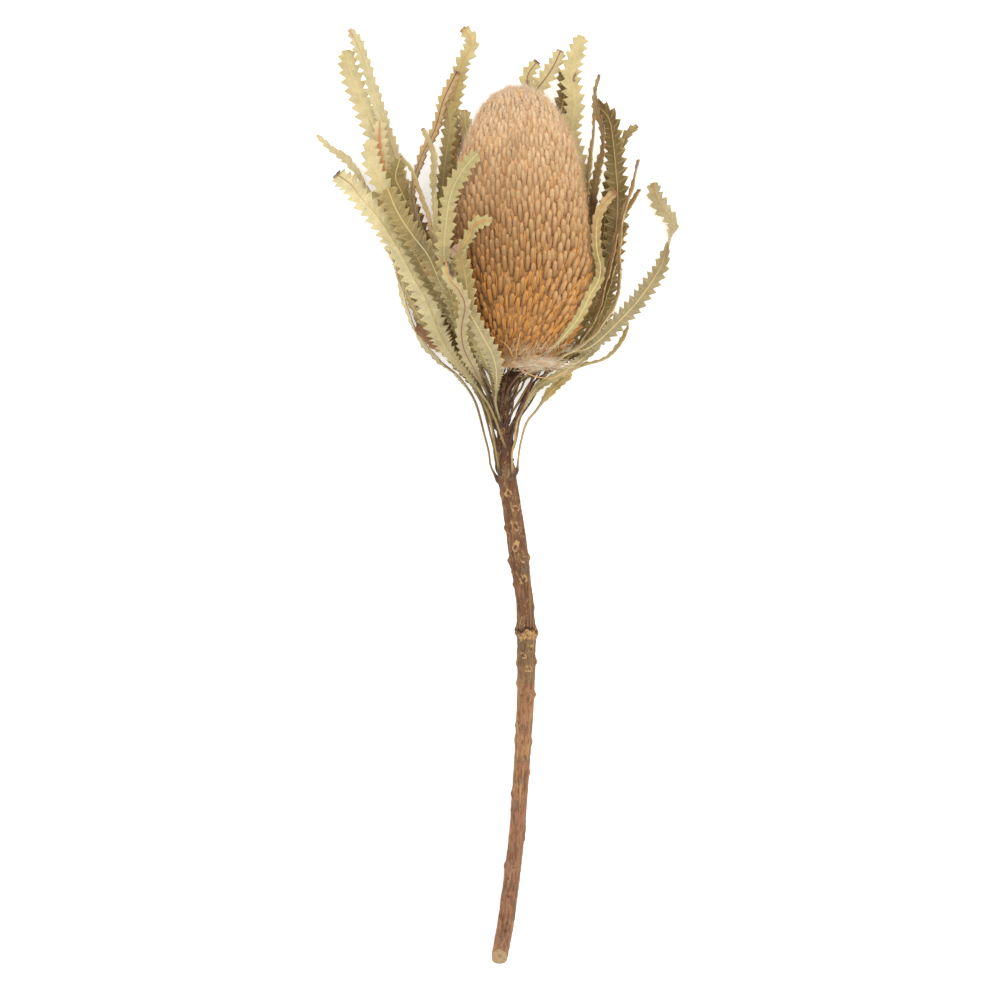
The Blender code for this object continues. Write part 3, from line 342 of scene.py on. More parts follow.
def cone_lift(points, above, clear):
    """How far points must move up or down to clear the cone, by the side they are on."""
    base, axis, across, up = cone_frame()
    outline = np.array(CONE_OUTLINE + [(np.linalg.norm(np.subtract(CONE_TIP, CONE_BASE)), 0.0)])
    rel = points - base
    t = rel @ axis
    u, v = rel @ across, rel @ up
    radius = np.interp(t, outline[:, 0], outline[:, 1])
    radius = np.where((t > -clear) & (t < outline[-1, 0] + clear), radius + clear, 0.0)
    need = np.sqrt(np.clip(radius ** 2 - u ** 2, 0.0, None))
    lift = np.where(above, need - v, -need - v)
    return np.where((radius ** 2 > u ** 2 + v ** 2), lift, 0.0)


def smooth_run(values, owner, times):
    """Even out values along each leaf."""
    for _ in range(times):
        for leaf in range(owner[-1] + 1):
            here = owner == leaf
            padded = np.pad(values[here], 1, mode="edge")
            values[here] = 0.25 * padded[:-2] + 0.5 * padded[1:-1] + 0.25 * padded[2:]
    return values


def pair_order(points, owner, one, two):
    """Which leaf of each close pair lies above the other, decided once for the whole pair."""
    count = owner[-1] + 1
    lead = np.zeros((count, count))
    np.add.at(lead, (owner[one], owner[two]), points[one, 2] - points[two, 2])
    return np.where(lead >= 0, 1.0, -1.0)


def part_stalks(points, owner, one, two):
    """Moves that bring the stalks apart sideways and upwards, where two of them run too close."""
    away = points[one] - points[two]
    level = np.abs(away[:, 1]) < STALK_LEVEL
    away[:, 1] = 0.0
    dist = np.linalg.norm(away, axis=1)
    share, most = STALK_PUSH
    lack = np.where(level, np.clip(2 * STALK_CLEAR - dist, 0.0, None), 0.0) * share
    shift = away / np.maximum(dist, CLOSE)[:, None] * lack[:, None]
    moves = np.zeros_like(points)
    np.add.at(moves, one, shift)
    np.add.at(moves, two, -shift)
    moves = np.clip(moves, -most, most)
    for k in (0, 2):
        moves[:, k] = smooth_run(moves[:, k], owner, 1)
    return moves


def spread_leaves(lines):
    """Lift and lower the leaves' lines until blades, stalks, cone, stem and ground are clear."""
    names = list(lines)
    owner = np.concatenate([np.full(len(lines[n]), k) for k, n in enumerate(names)])
    starts = np.searchsorted(owner, np.arange(len(names) + 1))
    points = np.vstack([lines[n] for n in names])
    runs = [run_length(lines[n]) for n in names]
    half = np.concatenate([half_widths(r, LEAVES[n][1], LEAVES[n][2]) for n, r in zip(names, runs)])
    hold = np.concatenate([np.clip(r / HOLD_LENGTH, 0.0, 1.0) for r in runs])
    clear = np.where(half <= STALK_HALF, STALK_CLEAR, BLADE_CLEAR)
    stem = smooth_curve(STEM_ROUTE, STEM_FINE)
    base, _, _, up = cone_frame()
    above = (points - base) @ up > 0
    flat = np.linalg.norm(points[:, None, :2] - points[None, :, :2], axis=2)
    near = (flat < half[:, None] + half[None] + BLADE_NEAR) & (owner[:, None] < owner[None])
    thin = half <= STALK_HALF
    stalk_one, stalk_two = np.nonzero((flat < STALK_NEAR) & thin[:, None] & thin & (owner[:, None] < owner))
    one, two = np.nonzero(near & ~(thin[:, None] & thin))
    order = pair_order(points, owner, one, two)[owner[one], owner[two]]
    need = (clear[one] + clear[two])[:, None, None]
    blade_share_made, blade_most = BLADE_PUSH
    cone_share_made, cone_most = CONE_PUSH
    for _ in range(SPREAD_ROUNDS):
        side = np.vstack([
            leaf_sides(points[a:b], run_length(points[a:b]), LEAVES[n][3])[0]
            for n, a, b in zip(names, starts, starts[1:])])
        balls = points[:, None] + side[:, None] * (half[:, None] * ACROSS)[..., None]
        first, second = balls[one][:, :, None], balls[two][:, None]
        beside = ((first[..., :2] - second[..., :2]) ** 2).sum(axis=3)
        wanted = np.sqrt(np.clip(need ** 2 - beside, 0.0, None))
        lack = wanted - order[:, None, None] * (first[..., 2] - second[..., 2])
        lack = np.where(wanted > 0, lack, 0.0).max(axis=(1, 2)).clip(0.0, blade_most) * blade_share_made
        raise_by, lower_by = np.zeros(len(points)), np.zeros(len(points))
        np.maximum.at(raise_by, np.where(order > 0, one, two), lack)
        np.maximum.at(lower_by, np.where(order > 0, two, one), lack)
        points[:, 2] += smooth_run(raise_by - lower_by, owner, 2) * hold
        points += part_stalks(points, owner, stalk_one, stalk_two) * hold[:, None]
        lifts = cone_lift(balls.reshape(-1, 3), np.repeat(above, len(ACROSS)), CONE_CLEAR)
        lifts = lifts.reshape(-1, len(ACROSS))
        lift = np.where(above, lifts.max(axis=1), lifts.min(axis=1))
        lift = np.clip(lift, -cone_most, cone_most) * cone_share_made
        points[:, 2] += smooth_run(lift, owner, 1) * hold
        away = points[:, None] - stem[None, :, :3]
        dist = np.linalg.norm(away, axis=2)
        nearest = dist.argmin(axis=1)
        row = np.arange(len(points))
        lack = stem[nearest, 3] / 2 + STEM_CLEAR + STALK_HALF - dist[row, nearest]
        points += (unit(away[row, nearest]) * np.clip(lack, 0.0, None)[:, None]) * hold[:, None]
        lowest = balls[:, :, 2].min(axis=1) - points[:, 2]
        points[:, 2] = np.maximum(points[:, 2], RIB_HALF - lowest)
    return {n: points[a:b] for n, a, b in zip(names, starts, starts[1:])}


# Looks.
SEED = 11
rng = np.random.default_rng(SEED)

# Named tones, as they look in even light.
TONES = {
    "straw": (220, 205, 157), "pale": (206, 190, 138), "sage": (186, 170, 114), "grey": (174, 159, 118),
    "olive": (154, 135, 82), "dark": (124, 104, 60), "tan": (188, 155, 104), "yellow": (219, 194, 126),
    "stalk": (148, 123, 76), "bright": (238, 223, 170), "ash": (162, 148, 110),
    "brown": (140, 98, 68), "red": (142, 80, 54), "umber": (84, 60, 44), "rust": (194, 134, 82),
    "pink": (170, 132, 112), "orange": (222, 154, 78),
}

# Each leaf: tones along the blade from stalk to tip, the rib's tones, the length of its brown tip
# in millimetres with its tone, and brown marks as (share from, share to, across, half width).
LEAF_LOOKS = {
    "leaf_left_outer": ("grey grey straw grey", "pale", 0, "brown", ()),
    "leaf_left_low": ("olive grey pale straw", "pale", 0, "brown", ()),
    "leaf_left_big": ("pale straw bright bright bright straw", "tan yellow yellow yellow yellow red",
                      3, "umber", ()),
    "leaf_left_folded": ("olive olive sage olive dark olive olive", "yellow pale pale yellow",
                         0, "brown", ()),
    "leaf_left_inner": ("grey olive dark olive olive", "yellow", 0, "brown", ((0.5, 0.9, 0.9, 0.3),)),
    "leaf_left_stalked": ("olive grey grey grey sage", "brown brown red red orange", 3, "umber",
                          ((0.88, 1.0, 0.7, 0.5),)),
    "leaf_front_left": ("sage grey grey olive olive", "yellow yellow yellow red", 5, "pink", ()),
    "leaf_front_left_short": ("olive sage grey", "yellow", 0, "brown", ()),
    "leaf_left_lower": ("olive olive tan tan", "brown", 16, "brown", ((0.62, 1.0, 0.0, 1.2),)),
    "leaf_left_olive": ("dark olive olive olive", "yellow", 0, "brown", ()),
    "leaf_left_grey": ("dark olive grey", "tan", 0, "brown", ()),
    "leaf_upper_left_first": ("olive sage pale straw straw straw",
                              "yellow yellow yellow red tan yellow rust", 0, "brown", ()),
    "leaf_upper_left_second": ("olive sage pale straw straw pale",
                               "yellow yellow yellow yellow red yellow yellow", 0, "brown", ()),
    "leaf_left_brown_tip": ("olive sage pale straw", "yellow yellow orange rust", 0, "rust",
                            ((0.72, 0.99, 0.0, 0.34),)),
    "leaf_left_toothed": ("olive olive olive sage pale straw", "orange yellow", 0, "brown", ()),
    "leaf_top_tall": ("dark olive olive sage pale", "umber brown orange orange", 3, "brown",
                      ((0.35, 0.7, 0.8, 0.3),)),
    "leaf_top_dark": ("olive dark dark tan tan", "brown umber", 3, "brown", ((0.5, 1.0, 0.9, 0.2),)),
    "leaf_top_olive": ("dark olive dark olive sage", "tan", 1, "brown", ((0.5, 0.7, 0.7, 0.3),)),
    "leaf_beside_dome": ("dark olive olive olive pale", "yellow", 1, "brown", ()),
    "leaf_over_cone": ("tan olive olive sage sage sage", "red tan pale pale", 0, "brown", ()),
    "leaf_top_narrow": ("dark olive sage pale", "tan", 1, "brown", ()),
    "leaf_left_edge_on": ("olive olive tan sage", "tan", 1, "brown", ()),
    "leaf_small_over_cone": ("dark olive olive sage", "tan yellow orange orange", 0, "brown",
                             ((0.84, 1.0, 0.0, 0.2),)),
    "leaf_right_big": ("ash ash ash ash grey sage sage", "yellow yellow yellow tan rust", 0, "brown", ()),
    "leaf_right_thin": ("yellow yellow straw yellow", "yellow", 0, "brown", ()),
    "leaf_right_dark": ("olive olive dark dark dark dark", "tan", 4, "umber", ((0.9, 1.0, -0.8, 0.3),)),
    "leaf_right_front": ("grey sage sage olive tan tan", "pale yellow yellow yellow brown", 4, "brown",
                         ((0.5, 0.56, 0.2, 0.3),)),
    "leaf_right_shaded": ("dark olive olive dark olive grey", "brown", 4, "brown", ((0.7, 1.0, 0.8, 0.3),)),
    "leaf_right_pale": ("olive sage pale pale tan", "tan", 2, "brown", ()),
    "leaf_behind_right": ("olive olive sage pale pale", "yellow", 0, "brown", ((0.87, 0.9, 0.4, 0.2),)),
    "leaf_behind_right_short": ("dark olive dark dark", "tan", 1, "brown", ()),
    "leaf_behind_dome": ("tan tan sage pale", "brown", 2, "umber", ((0.86, 0.94, 0.0, 0.3),)),
    "leaf_behind_dome_slant": ("tan tan pale straw", "brown", 1, "brown", ()),
    "leaf_right_narrow_first": ("olive pale tan tan pink", "brown", 9, "pink", ()),
    "leaf_right_narrow_second": ("olive olive tan tan", "brown", 3, "brown", ()),
    "leaf_right_narrow_third": ("olive dark olive tan", "tan", 2, "brown", ()),
    "leaf_right_behind": ("olive grey dark olive", "tan", 1, "brown", ()),
    "leaf_right_lowest": ("pale yellow yellow yellow", "yellow", 0, "pink", ()),
    "leaf_right_front_low": ("sage sage grey grey", "pale", 0, "brown", ()),
}

# The tone of a leaf's stalk, where it isn't the plain one.
STALK_TONES = {
    "leaf_left_stalked": "umber", "leaf_right_front": "brown", "leaf_over_cone": "umber",
    "leaf_left_inner": "umber", "leaf_left_folded": "umber", "leaf_left_low": "umber",
    "leaf_right_dark": "umber", "leaf_right_narrow_second": "umber", "leaf_right_behind": "umber",
    "leaf_right_big": "olive", "leaf_front_left": "grey", "leaf_left_big": "olive",
    "leaf_left_lower": "olive", "leaf_right_lowest": "tan", "leaf_right_front_low": "tan",
}
# No point of a piece lies lower than this.
LOWEST = 0.02


def linear(rgb):
    """A tone given as 0 to 255 in even light, as a linear colour."""
    c = np.asarray(rgb, float) / 255
    return np.where(c <= 0.04045, c / 12.92, ((c + 0.055) / 1.055) ** 2.4)


def shade(*rgb):
    """A shader's colour from a tone given as 0 to 255 in even light."""
    return (*linear(rgb), 1.0)


def tone(name):
    """A shader's colour from a named tone."""
    return shade(*TONES[name])


class Nodes:
    """Short calls that add shader nodes to one material."""

    def __init__(self, name, roughness, specular=0.25, sheen=0.0):
        self.material = bpy.data.materials.new(name)
        self.material.use_nodes = True
        self.tree = self.material.node_tree
        self.shader = self.tree.nodes["Principled BSDF"]
        self.shader.inputs["Roughness"].default_value = roughness
        self.shader.inputs["Specular IOR Level"].default_value = specular
        self.shader.inputs["Sheen Weight"].default_value = sheen
        self.shader.inputs["Sheen Roughness"].default_value = 0.6
        self.place = self.tree.nodes.new("ShaderNodeTexCoord").outputs["Object"]
        self.base = None

    def put(self, socket, value):
        """Link a socket to another, or set its value."""
        if isinstance(value, bpy.types.NodeSocket):
            self.tree.links.new(value, socket)
        else:
            socket.default_value = value

    def attribute(self, name, output="Fac"):
        """A value that the mesh holds at its points: a number, or a colour with the output Color."""
        node = self.tree.nodes.new("ShaderNodeAttribute")
        node.attribute_name = name
        return node.outputs[output]

    def math(self, kind, *values):
        """One step of arithmetic."""
        node = self.tree.nodes.new("ShaderNodeMath")
        node.operation = kind
        for socket, value in zip(node.inputs, values):
            self.put(socket, value)
        return node.outputs[0]

    def times(self, a, b):
        return self.math("MULTIPLY", a, b)

    def plus(self, a, b):
        return self.math("ADD", a, b)

    def between(self, value, low, high, out_low=0.0, out_high=1.0):
        """A value eased from one range into another."""
        node = self.tree.nodes.new("ShaderNodeMapRange")
        node.interpolation_type = "SMOOTHSTEP"
        for socket, v in zip(node.inputs, (value, low, high, out_low, out_high)):
            self.put(socket, v)
        return node.outputs[0]

    def mix(self, share, a, b, kind="MIX"):
        """Two colours mixed by a share."""
        node = self.tree.nodes.new("ShaderNodeMix")
        node.data_type = "RGBA"
        node.blend_type = kind
        self.put(node.inputs["Factor"], share)
        self.put(node.inputs[6], a)
        self.put(node.inputs[7], b)
        return node.outputs[2]

    def over(self, share, colour, kind="MIX"):
        """Lay a colour over the material's colour so far."""
        self.base = self.mix(share, self.base, colour, kind)

    def noise(self, scale, detail=3.0, rough=0.55, stretch=None):
        """Noise by place, drawn out where a stretch is given."""
        node = self.tree.nodes.new("ShaderNodeTexNoise")
        node.inputs["Scale"].default_value = scale
        node.inputs["Detail"].default_value = detail
        node.inputs["Roughness"].default_value = rough
        place = self.place
        if stretch is not None:
            mapping = self.tree.nodes.new("ShaderNodeMapping")
            mapping.inputs["Scale"].default_value = stretch
            self.tree.links.new(place, mapping.inputs["Vector"])
            place = mapping.outputs[0]
        self.tree.links.new(place, node.inputs["Vector"])
        return node.outputs["Fac"]

    def bump(self, height, distance, strength=1.0):
        """Fine relief from a height."""
        node = self.tree.nodes.new("ShaderNodeBump")
        node.inputs["Strength"].default_value = strength
        node.inputs["Distance"].default_value = distance
        self.tree.links.new(height, node.inputs["Height"])
        self.tree.links.new(node.outputs[0], self.shader.inputs["Normal"])

    def finish(self, roughness=None):
        """The material, with its colour and, where given, a roughness that varies."""
        self.tree.links.new(self.base, self.shader.inputs["Base Color"])
        if roughness is not None:
            self.tree.links.new(roughness, self.shader.inputs["Roughness"])
        return self.material


def add_piece(name, verts, faces, material, node, numbers=None, colours=None, sharp=None):
    """A mesh piece from arrays of points in millimetres and triangles, riding on the object."""
    verts, faces = np.asarray(verts, float).copy(), np.asarray(faces, np.int32)
    verts[:, 2] = np.maximum(verts[:, 2], LOWEST)
    mesh = bpy.data.meshes.new(name)
    mesh.vertices.add(len(verts))
    mesh.vertices.foreach_set("co", (verts * MM).astype(np.float32).ravel())
    mesh.loops.add(faces.size)
    mesh.loops.foreach_set("vertex_index", faces.ravel())
    mesh.polygons.add(len(faces))
    mesh.polygons.foreach_set("loop_start", np.arange(0, faces.size, faces.shape[1], dtype=np.int32))
    mesh.update(calc_edges=True)
    mesh.polygons.foreach_set("use_smooth", np.full(len(faces), True))
    if sharp:
        mesh.set_sharp_from_angle(angle=sharp)
    for key, values in (numbers or {}).items():
        held = mesh.attributes.new(key, "FLOAT", "POINT")
        held.data.foreach_set("value", np.asarray(values, np.float32))
    for key, values in (colours or {}).items():
        full = np.column_stack([values, np.ones(len(values))]).astype(np.float32)
        mesh.attributes.new(key, "FLOAT_COLOR", "POINT").data.foreach_set("color", full.ravel())
    mesh.materials.append(material)
    piece = bpy.data.objects.new(name, mesh)
    bpy.context.scene.collection.objects.link(piece)
    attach(piece, "root")
    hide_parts(node)


def grid_faces(rows, columns):
    """Triangles of an open-ended tube of rows by columns of points."""
    r, k = np.meshgrid(np.arange(rows - 1), np.arange(columns), indexing="ij")
    a = r * columns + k
    b = r * columns + (k + 1) % columns
    c, d = b + columns, a + columns
    return np.concatenate([np.stack([a, b, c], -1).reshape(-1, 3), np.stack([a, c, d], -1).reshape(-1, 3)])


def fan(ring, centre, outward):
    """Triangles that close a ring of points at its centre point."""
    after = np.roll(ring, -1)
    middle = np.full(len(ring), centre)
    return np.stack([middle, ring, after] if outward else [middle, after, ring], -1)


def tube_faces(rows, columns):
    """Triangles of a tube whose two ends close at the two points that follow its rows."""
    size = rows * columns
    return np.concatenate([
        grid_faces(rows, columns), fan(np.arange(columns), size, False),
        fan(np.arange(size - columns, size), size + 1, True)])


def turn_from(turn, degrees):
    """Angles as seen from a given one, within half a turn."""
    return np.remainder(turn - math.radians(degrees) + math.pi, 2 * math.pi) - math.pi


def out_way(degrees):
    """The way out of the stem at an angle round it, 0 to the right and 90 up."""
    return np.array([math.cos(math.radians(degrees)), 0.0, math.sin(math.radians(degrees))])


# The leaves' fine form: the length of a tooth, the places along it, and where its point is.
FINE_PITCH = 4.1
PHASES = np.array([0.0, 0.2, 0.42, 0.64, 0.8, 0.9])
PEAK_PHASE = 0.8
TOOTH_FALL = 0.8
NOTCH_DEPTH = 0.5
TOOTH_SIZES = (0.82, 1.06)
FULL_TOOTH_WIDTH = 7.5
LEAST_TEETH = 4
COUNT_STEPS = 200
# How far the teeth lean towards the tip, and how much further on the right side in parts of a tooth.
FORWARD = 1.7
RIGHT_FORWARD = 0.3
TIP_GAP = 0.15
STALK_ROWS = 2.4
STALK_FINE = 0.56
# The stalk swells at its foot: the foot's length, and the thickness at its start, its end and the blade.
FOOT_LENGTH = 3.0
FOOT_SWELL = (1.5, 0.78, 1.0)
# The foot's two rings inside the bark: how deep, how far back, and how large.
ROOTS = ((2.0, 2.6, 1.5), (0.9, 1.6, 1.35))
BLADE_START = 8.0
RIB_WIDE = 0.42
LAMINA = 0.2
# The margin's thickness, its place across the blade and its width, and where the edge begins.
MARGIN = (0.08, 0.86, 0.1)
EDGE_FROM = 0.99
PUCKER = 0.13
PUCKER_EASE = 0.3
# Waves along the blade: height and length.
WAVES = ((0.4, 4.2), (0.25, 1.9))
TIP_STRAY = 0.16
FINEST = 0.45
TIP_CLOSED = 0.3
TIP_LENGTH = 2.6
# How dark the blade's start is and over what share, and how leaves differ in tone.
BASE_SHADE = (0.3, 0.16)
LEAF_SHADES = (0.92, 1.04)
# The stalk's tone ends past the stalk by this share, over this length, and its foot's over the last.
STALK_OVER = 1.05
STALK_FADE = 12.0
FOOT_FADE = 2.5
SHARP = math.radians(38)
ACROSS_FINE = np.array([-1.0, -0.86, -0.62, -0.36, -0.14, 0.0, 0.14, 0.36, 0.62, 0.86, 1.0])


def tooth_edge(phase, depth):
    """The blade's edge over one tooth: a slow rise to the point and a quick fall behind it."""
    rise = np.clip(phase / PEAK_PHASE, 0.0, 1.0)
    fall = np.clip((phase - PEAK_PHASE) / (1 - PEAK_PHASE), 0.0, 1.0)
    return 1 - depth * (1 - np.where(phase <= PEAK_PHASE, rise, 1 - fall ** TOOTH_FALL))


def spread_tones(names, share):
    """Colours along a leaf, from the named tones at even steps."""
    tones = np.array([linear(TONES[n]) for n in names.split()])
    at = np.linspace(0.0, 1.0, len(tones))
    flat = np.column_stack([np.interp(share.ravel(), at, column) for column in tones.T])
    return flat.reshape(*share.shape, 3)


def tooth_rows(run, half, stalk):
    """The leaf's rows: distance along it, the tooth each is on (-1 on the stalk), place on the tooth."""
    steps = np.linspace(stalk, run[-1], COUNT_STEPS)
    local = FINE_PITCH * np.clip(np.interp(steps, run, half) / half.max(), FINEST, 1.0)
    passed = np.concatenate([[0.0], np.cumsum((steps[1] - steps[0]) / local[1:])])
    teeth = max(LEAST_TEETH, round(passed[-1]))
    passed *= teeth / passed[-1]
    stalk_at = np.arange(0.0, stalk - 1.0, STALK_ROWS)
    count = np.repeat(np.arange(teeth), len(PHASES))
    phase = np.tile(PHASES, teeth)
    at = np.concatenate([stalk_at, np.interp(count + phase, passed, steps), [run[-1]]])
    tooth = np.concatenate([np.full(len(stalk_at), -1), count, [teeth]])
    return at, tooth, np.concatenate([np.zeros(len(stalk_at)), phase, [0.0]]), teeth


def fine_leaf(name, line, material):
    """One leaf: a thin stalk that grows out of the bark, and a thin blade with fine saw teeth."""
    foot, stalk, width, turns, _ = LEAVES[name]
    tones, rib_tones, tip_length, tip_tone, marks = LEAF_LOOKS[name]
    line = smooth_curve(line, 1.0)
    run = run_length(line)
    half = half_widths(run, stalk, width)
    whole = np.column_stack([line, *leaf_sides(line, run, turns), half])
    at, tooth, phase, teeth = tooth_rows(run, half, stalk)
    a = np.concatenate([ACROSS_FINE, ACROSS_FINE[-2:0:-1]])
    top = np.arange(len(a)) < len(ACROSS_FINE)
    rows, columns = len(at), len(a)
    right, rel = a > 0, np.abs(a)
    on_stalk = tooth[:, None] < 0

    # Where each point is along the leaf, and the line's middle and ways there.
    blade = np.clip((at - stalk) / BLADE_START, 0.0, 1.0)[:, None]
    forward = (FORWARD + np.where(right, RIGHT_FORWARD * ((run[-1] - stalk) / teeth), 0.0)) * rel * blade
    forward = forward * np.clip(np.interp(at, run, half) / half.max(), FINEST, 1.0)[:, None]
    rows_left = (rows - 1 - np.arange(rows))[:, None]
    where = np.minimum(at[:, None] + forward, run[-1] - TIP_GAP * rows_left / len(PHASES))
    here = along(whole, run, where.ravel()).reshape(rows, columns, -1)
    centre, across, normal = here[..., :3], unit(here[..., 3:6]), unit(here[..., 6:9])

    # The outline: teeth whose sizes vary, and a closed tip.
    size_left, size_right = rng.uniform(*TOOTH_SIZES, (2, teeth + 2))
    size = np.where(right, size_right[tooth][:, None], size_left[tooth][:, None])
    depth = NOTCH_DEPTH * size * np.minimum(1.0, width / FULL_TOOTH_WIDTH)
    edge_share = np.where(on_stalk, 1.0, tooth_edge(phase[:, None], depth))
    to_tip = np.clip((run[-1] - at) / TIP_LENGTH, 0.0, 1.0)
    closing = TIP_CLOSED + (1 - TIP_CLOSED) * np.sqrt(to_tip)[:, None]
    stalk_fine = STALK_FINE * np.interp(at, (0.0, FOOT_LENGTH, stalk), FOOT_SWELL)[:, None]
    edge = np.maximum(here[..., 9] * edge_share * closing, stalk_fine)
    edge = np.where(on_stalk, stalk_fine, edge)
    u = a * edge

    # The thickness, with a rib and a margin, and the waves and puckers.
    margin, margin_at, margin_wide = MARGIN
    thick = LAMINA + (RIB_HALF - LAMINA) * np.exp(-(u / RIB_WIDE) ** 2) \
        + margin * np.exp(-((rel - margin_at) / margin_wide) ** 2)
    thick = thick * np.where(rel > EDGE_FROM, 0.0, 1.0)
    stalk_thick = stalk_fine * np.sqrt(np.clip(1 - a * a, 0.0, 1.0))
    height = np.where(top, 1.0, -1.0) * (stalk_thick * (1 - blade) + thick * blade)
    vein = np.cos(2 * math.pi * (phase[:, None] - PEAK_PHASE))
    pucker = PUCKER * vein * np.clip(rel / PUCKER_EASE, 0, 1) * np.clip((1.02 - rel) / PUCKER_EASE, 0, 1)
    shifts = rng.uniform(0, 2 * math.pi, 2)
    wave = sum(high * np.sin(at[:, None] / long + np.where(right, one, two))
               for (high, long), (one, two) in zip(WAVES, (shifts[::-1], shifts)))
    lift = BLADE_CUP * np.maximum(edge - STALK_HALF, 0.0) * rel + blade * (wave * rel ** 2 + pucker)
    tips = rng.normal(0, TIP_STRAY, (rows, 2))[:, right.astype(int)] * (rel > EDGE_FROM)
    verts = centre + u[..., None] * across + (height + lift + tips * blade)[..., None] * normal
    roots = [
        (verts[0] - line[0]) * grow + line[0] - out_way(foot[1]) * sink - np.array([0.0, back, 0.0])
        for sink, back, grow in ROOTS]
    ends = np.array([roots[0].mean(0), verts[-1].mean(0)])
    verts = np.concatenate([np.array(roots), verts]).reshape(-1, 3)
    faces = tube_faces(rows + len(roots), columns)

    def per_vertex(values, first, last):
        values = np.broadcast_to(values, (rows, columns))
        return np.concatenate([values[:1], values[:1], values]).ravel().tolist() + [first, last]

    # The tones of the blade, its back, the stalk, its foot and the rib, and the brown parts.
    share = np.clip((where - stalk) / (run[-1] - stalk), 0.0, 1.0)
    dark, dark_share = BASE_SHADE
    wide = spread_tones(tones, share) * rng.uniform(*LEAF_SHADES)
    wide = wide * (1 - dark * np.exp(-share / dark_share))[..., None]
    for cover, cover_tone in (
            (np.where(top, 0.0, 1.0)[None, :, None], "grey"),
            (np.clip((stalk * STALK_OVER - at) / STALK_FADE, 0, 1)[:, None, None],
             STALK_TONES.get(name, "stalk")),
            (np.exp(-at / FOOT_FADE)[:, None, None], "umber")):
        wide = wide * (1 - cover) + linear(TONES[cover_tone]) * cover
    brown = np.clip(1 - (run[-1] - where) / tip_length, 0.0, 1.0) if tip_length else 0.0 * where
    for low, high, mark_at, mark_half in marks:
        mark = np.exp(-((share - (low + high) / 2) / ((high - low) / 2)) ** 4)
        brown = np.maximum(brown, mark * np.exp(-((a - mark_at) / mark_half) ** 2))
    full = [np.array([per_vertex(c[..., k], 0.1, 0.1) for k in range(3)]).T
            for c in (wide, spread_tones(rib_tones, share))]
    tip_colour = np.tile(linear(TONES[tip_tone]), (len(verts) + 2, 1))
    numbers = {
        "leaf_u": per_vertex(u, 0, 0), "leaf_rel": per_vertex(rel, 0, 0),
        "leaf_phase": per_vertex((tooth + phase)[:, None], 0, 0),
        "leaf_brown": per_vertex(brown, 0, brown[-1].max()),
        "leaf_blade": per_vertex(np.where(on_stalk, 0.0, blade), 0, 1),
    }
    add_piece(name + "_blade", np.vstack([verts, ends]), faces[:, ::-1], material, name,
              numbers, {"leaf_tone": full[0], "leaf_rib": full[1], "leaf_tip": tip_colour}, sharp=SHARP)


def leaf_material():
    """Dry leaf: pale rib and margins, side veins to the teeth, mottling and brown parts."""
    n = Nodes("dry_leaf", 0.62, specular=0.3, sheen=0.08)
    rel, blade, brown = n.attribute("leaf_rel"), n.attribute("leaf_blade"), n.attribute("leaf_brown")
    n.base = n.attribute("leaf_tone", "Color")
    n.over(1.0, n.between(n.noise(200, 3), 0.3, 0.7, 0.88, 1.08), "MULTIPLY")
    n.over(1.0, n.between(n.noise(1900, 3), 0.3, 0.7, 0.9, 1.08), "MULTIPLY")
    n.over(n.between(n.noise(120, 3), 0.5, 0.72, 0.0, 0.3), tone("tan"))
    turn = n.math("FRACT", n.plus(n.attribute("leaf_phase"), 0.5 - PEAK_PHASE + 1.0))
    off = n.math("ABSOLUTE", n.math("SUBTRACT", turn, 0.5))
    vein = n.times(n.between(off, 0.0, 0.09, 1.0, 0.0), n.between(rel, 0.1, 0.3))
    vein = n.times(vein, blade)
    n.over(n.times(vein, 0.35), tone("pale"))
    n.over(n.times(n.times(n.between(rel, 0.87, 0.95), blade), 0.5), tone("yellow"))
    patch = n.plus(brown, n.times(n.math("SUBTRACT", n.noise(700, 4), 0.5), 0.8))
    patch = n.times(n.between(patch, 0.1, 0.95), n.between(brown, 0.02, 0.2))
    n.over(n.times(patch, 0.95), n.attribute("leaf_tip", "Color"))
    rib = n.between(n.math("ABSOLUTE", n.attribute("leaf_u")), 0.16, 0.36, 1.0, 0.0)
    n.over(n.times(rib, n.times(blade, 0.9)), n.attribute("leaf_rib", "Color"))
    point = n.times(n.between(rel, 0.9, 1.0), blade)
    n.over(n.times(point, n.between(n.noise(420, 2), 0.5, 0.62, 0.0, 0.55)), tone("rust"))
    n.over(n.times(n.between(n.noise(850, 2), 0.71, 0.75), 0.6), tone("brown"))
    height = n.plus(n.times(n.noise(2600, 3), 0.5), n.times(vein, 0.8))
    n.bump(n.plus(height, n.noise(900, 3, stretch=(1.0, 0.25, 1.0))), 0.00012, 0.8)
    return n.finish(n.between(n.noise(900, 2), 0.3, 0.7, 0.52, 0.75))


def make_leaves():
    """All the leaves, in the places that the solids have."""
    material = leaf_material()
    for name, line in spread_leaves(leaf_lines()).items():
        fine_leaf(name, line, material)


# The cone's fine form: florets in columns round it and rows up it, and where they begin and end.
CONE_LENGTH = 125.0
COLUMNS = 36
ROW_STEP = 3.15
FIRST_ROW = 1.2
LAST_ROW = 0.8
# Rows stand closer where the cone is thin: the least step, what is added, and the radius that adds all.
ROW_SHARES = (0.42, 0.58)
FULL_ROW_RADIUS = 27.0
FULL_COLUMNS_RADIUS = 9
FINGER_LENGTH = 8.2
FINGER_RADIUS = 1.25
FINGER_SINK = 2.7
FINGER_TILT = 12.5
FINGER_SIDES = 8
# Each finger's rings: place along it and thickness.
FINGER_RINGS = np.array([(0.0, 0.75), (0.3, 0.95), (0.62, 1.0), (0.84, 0.86), (0.95, 0.5)])
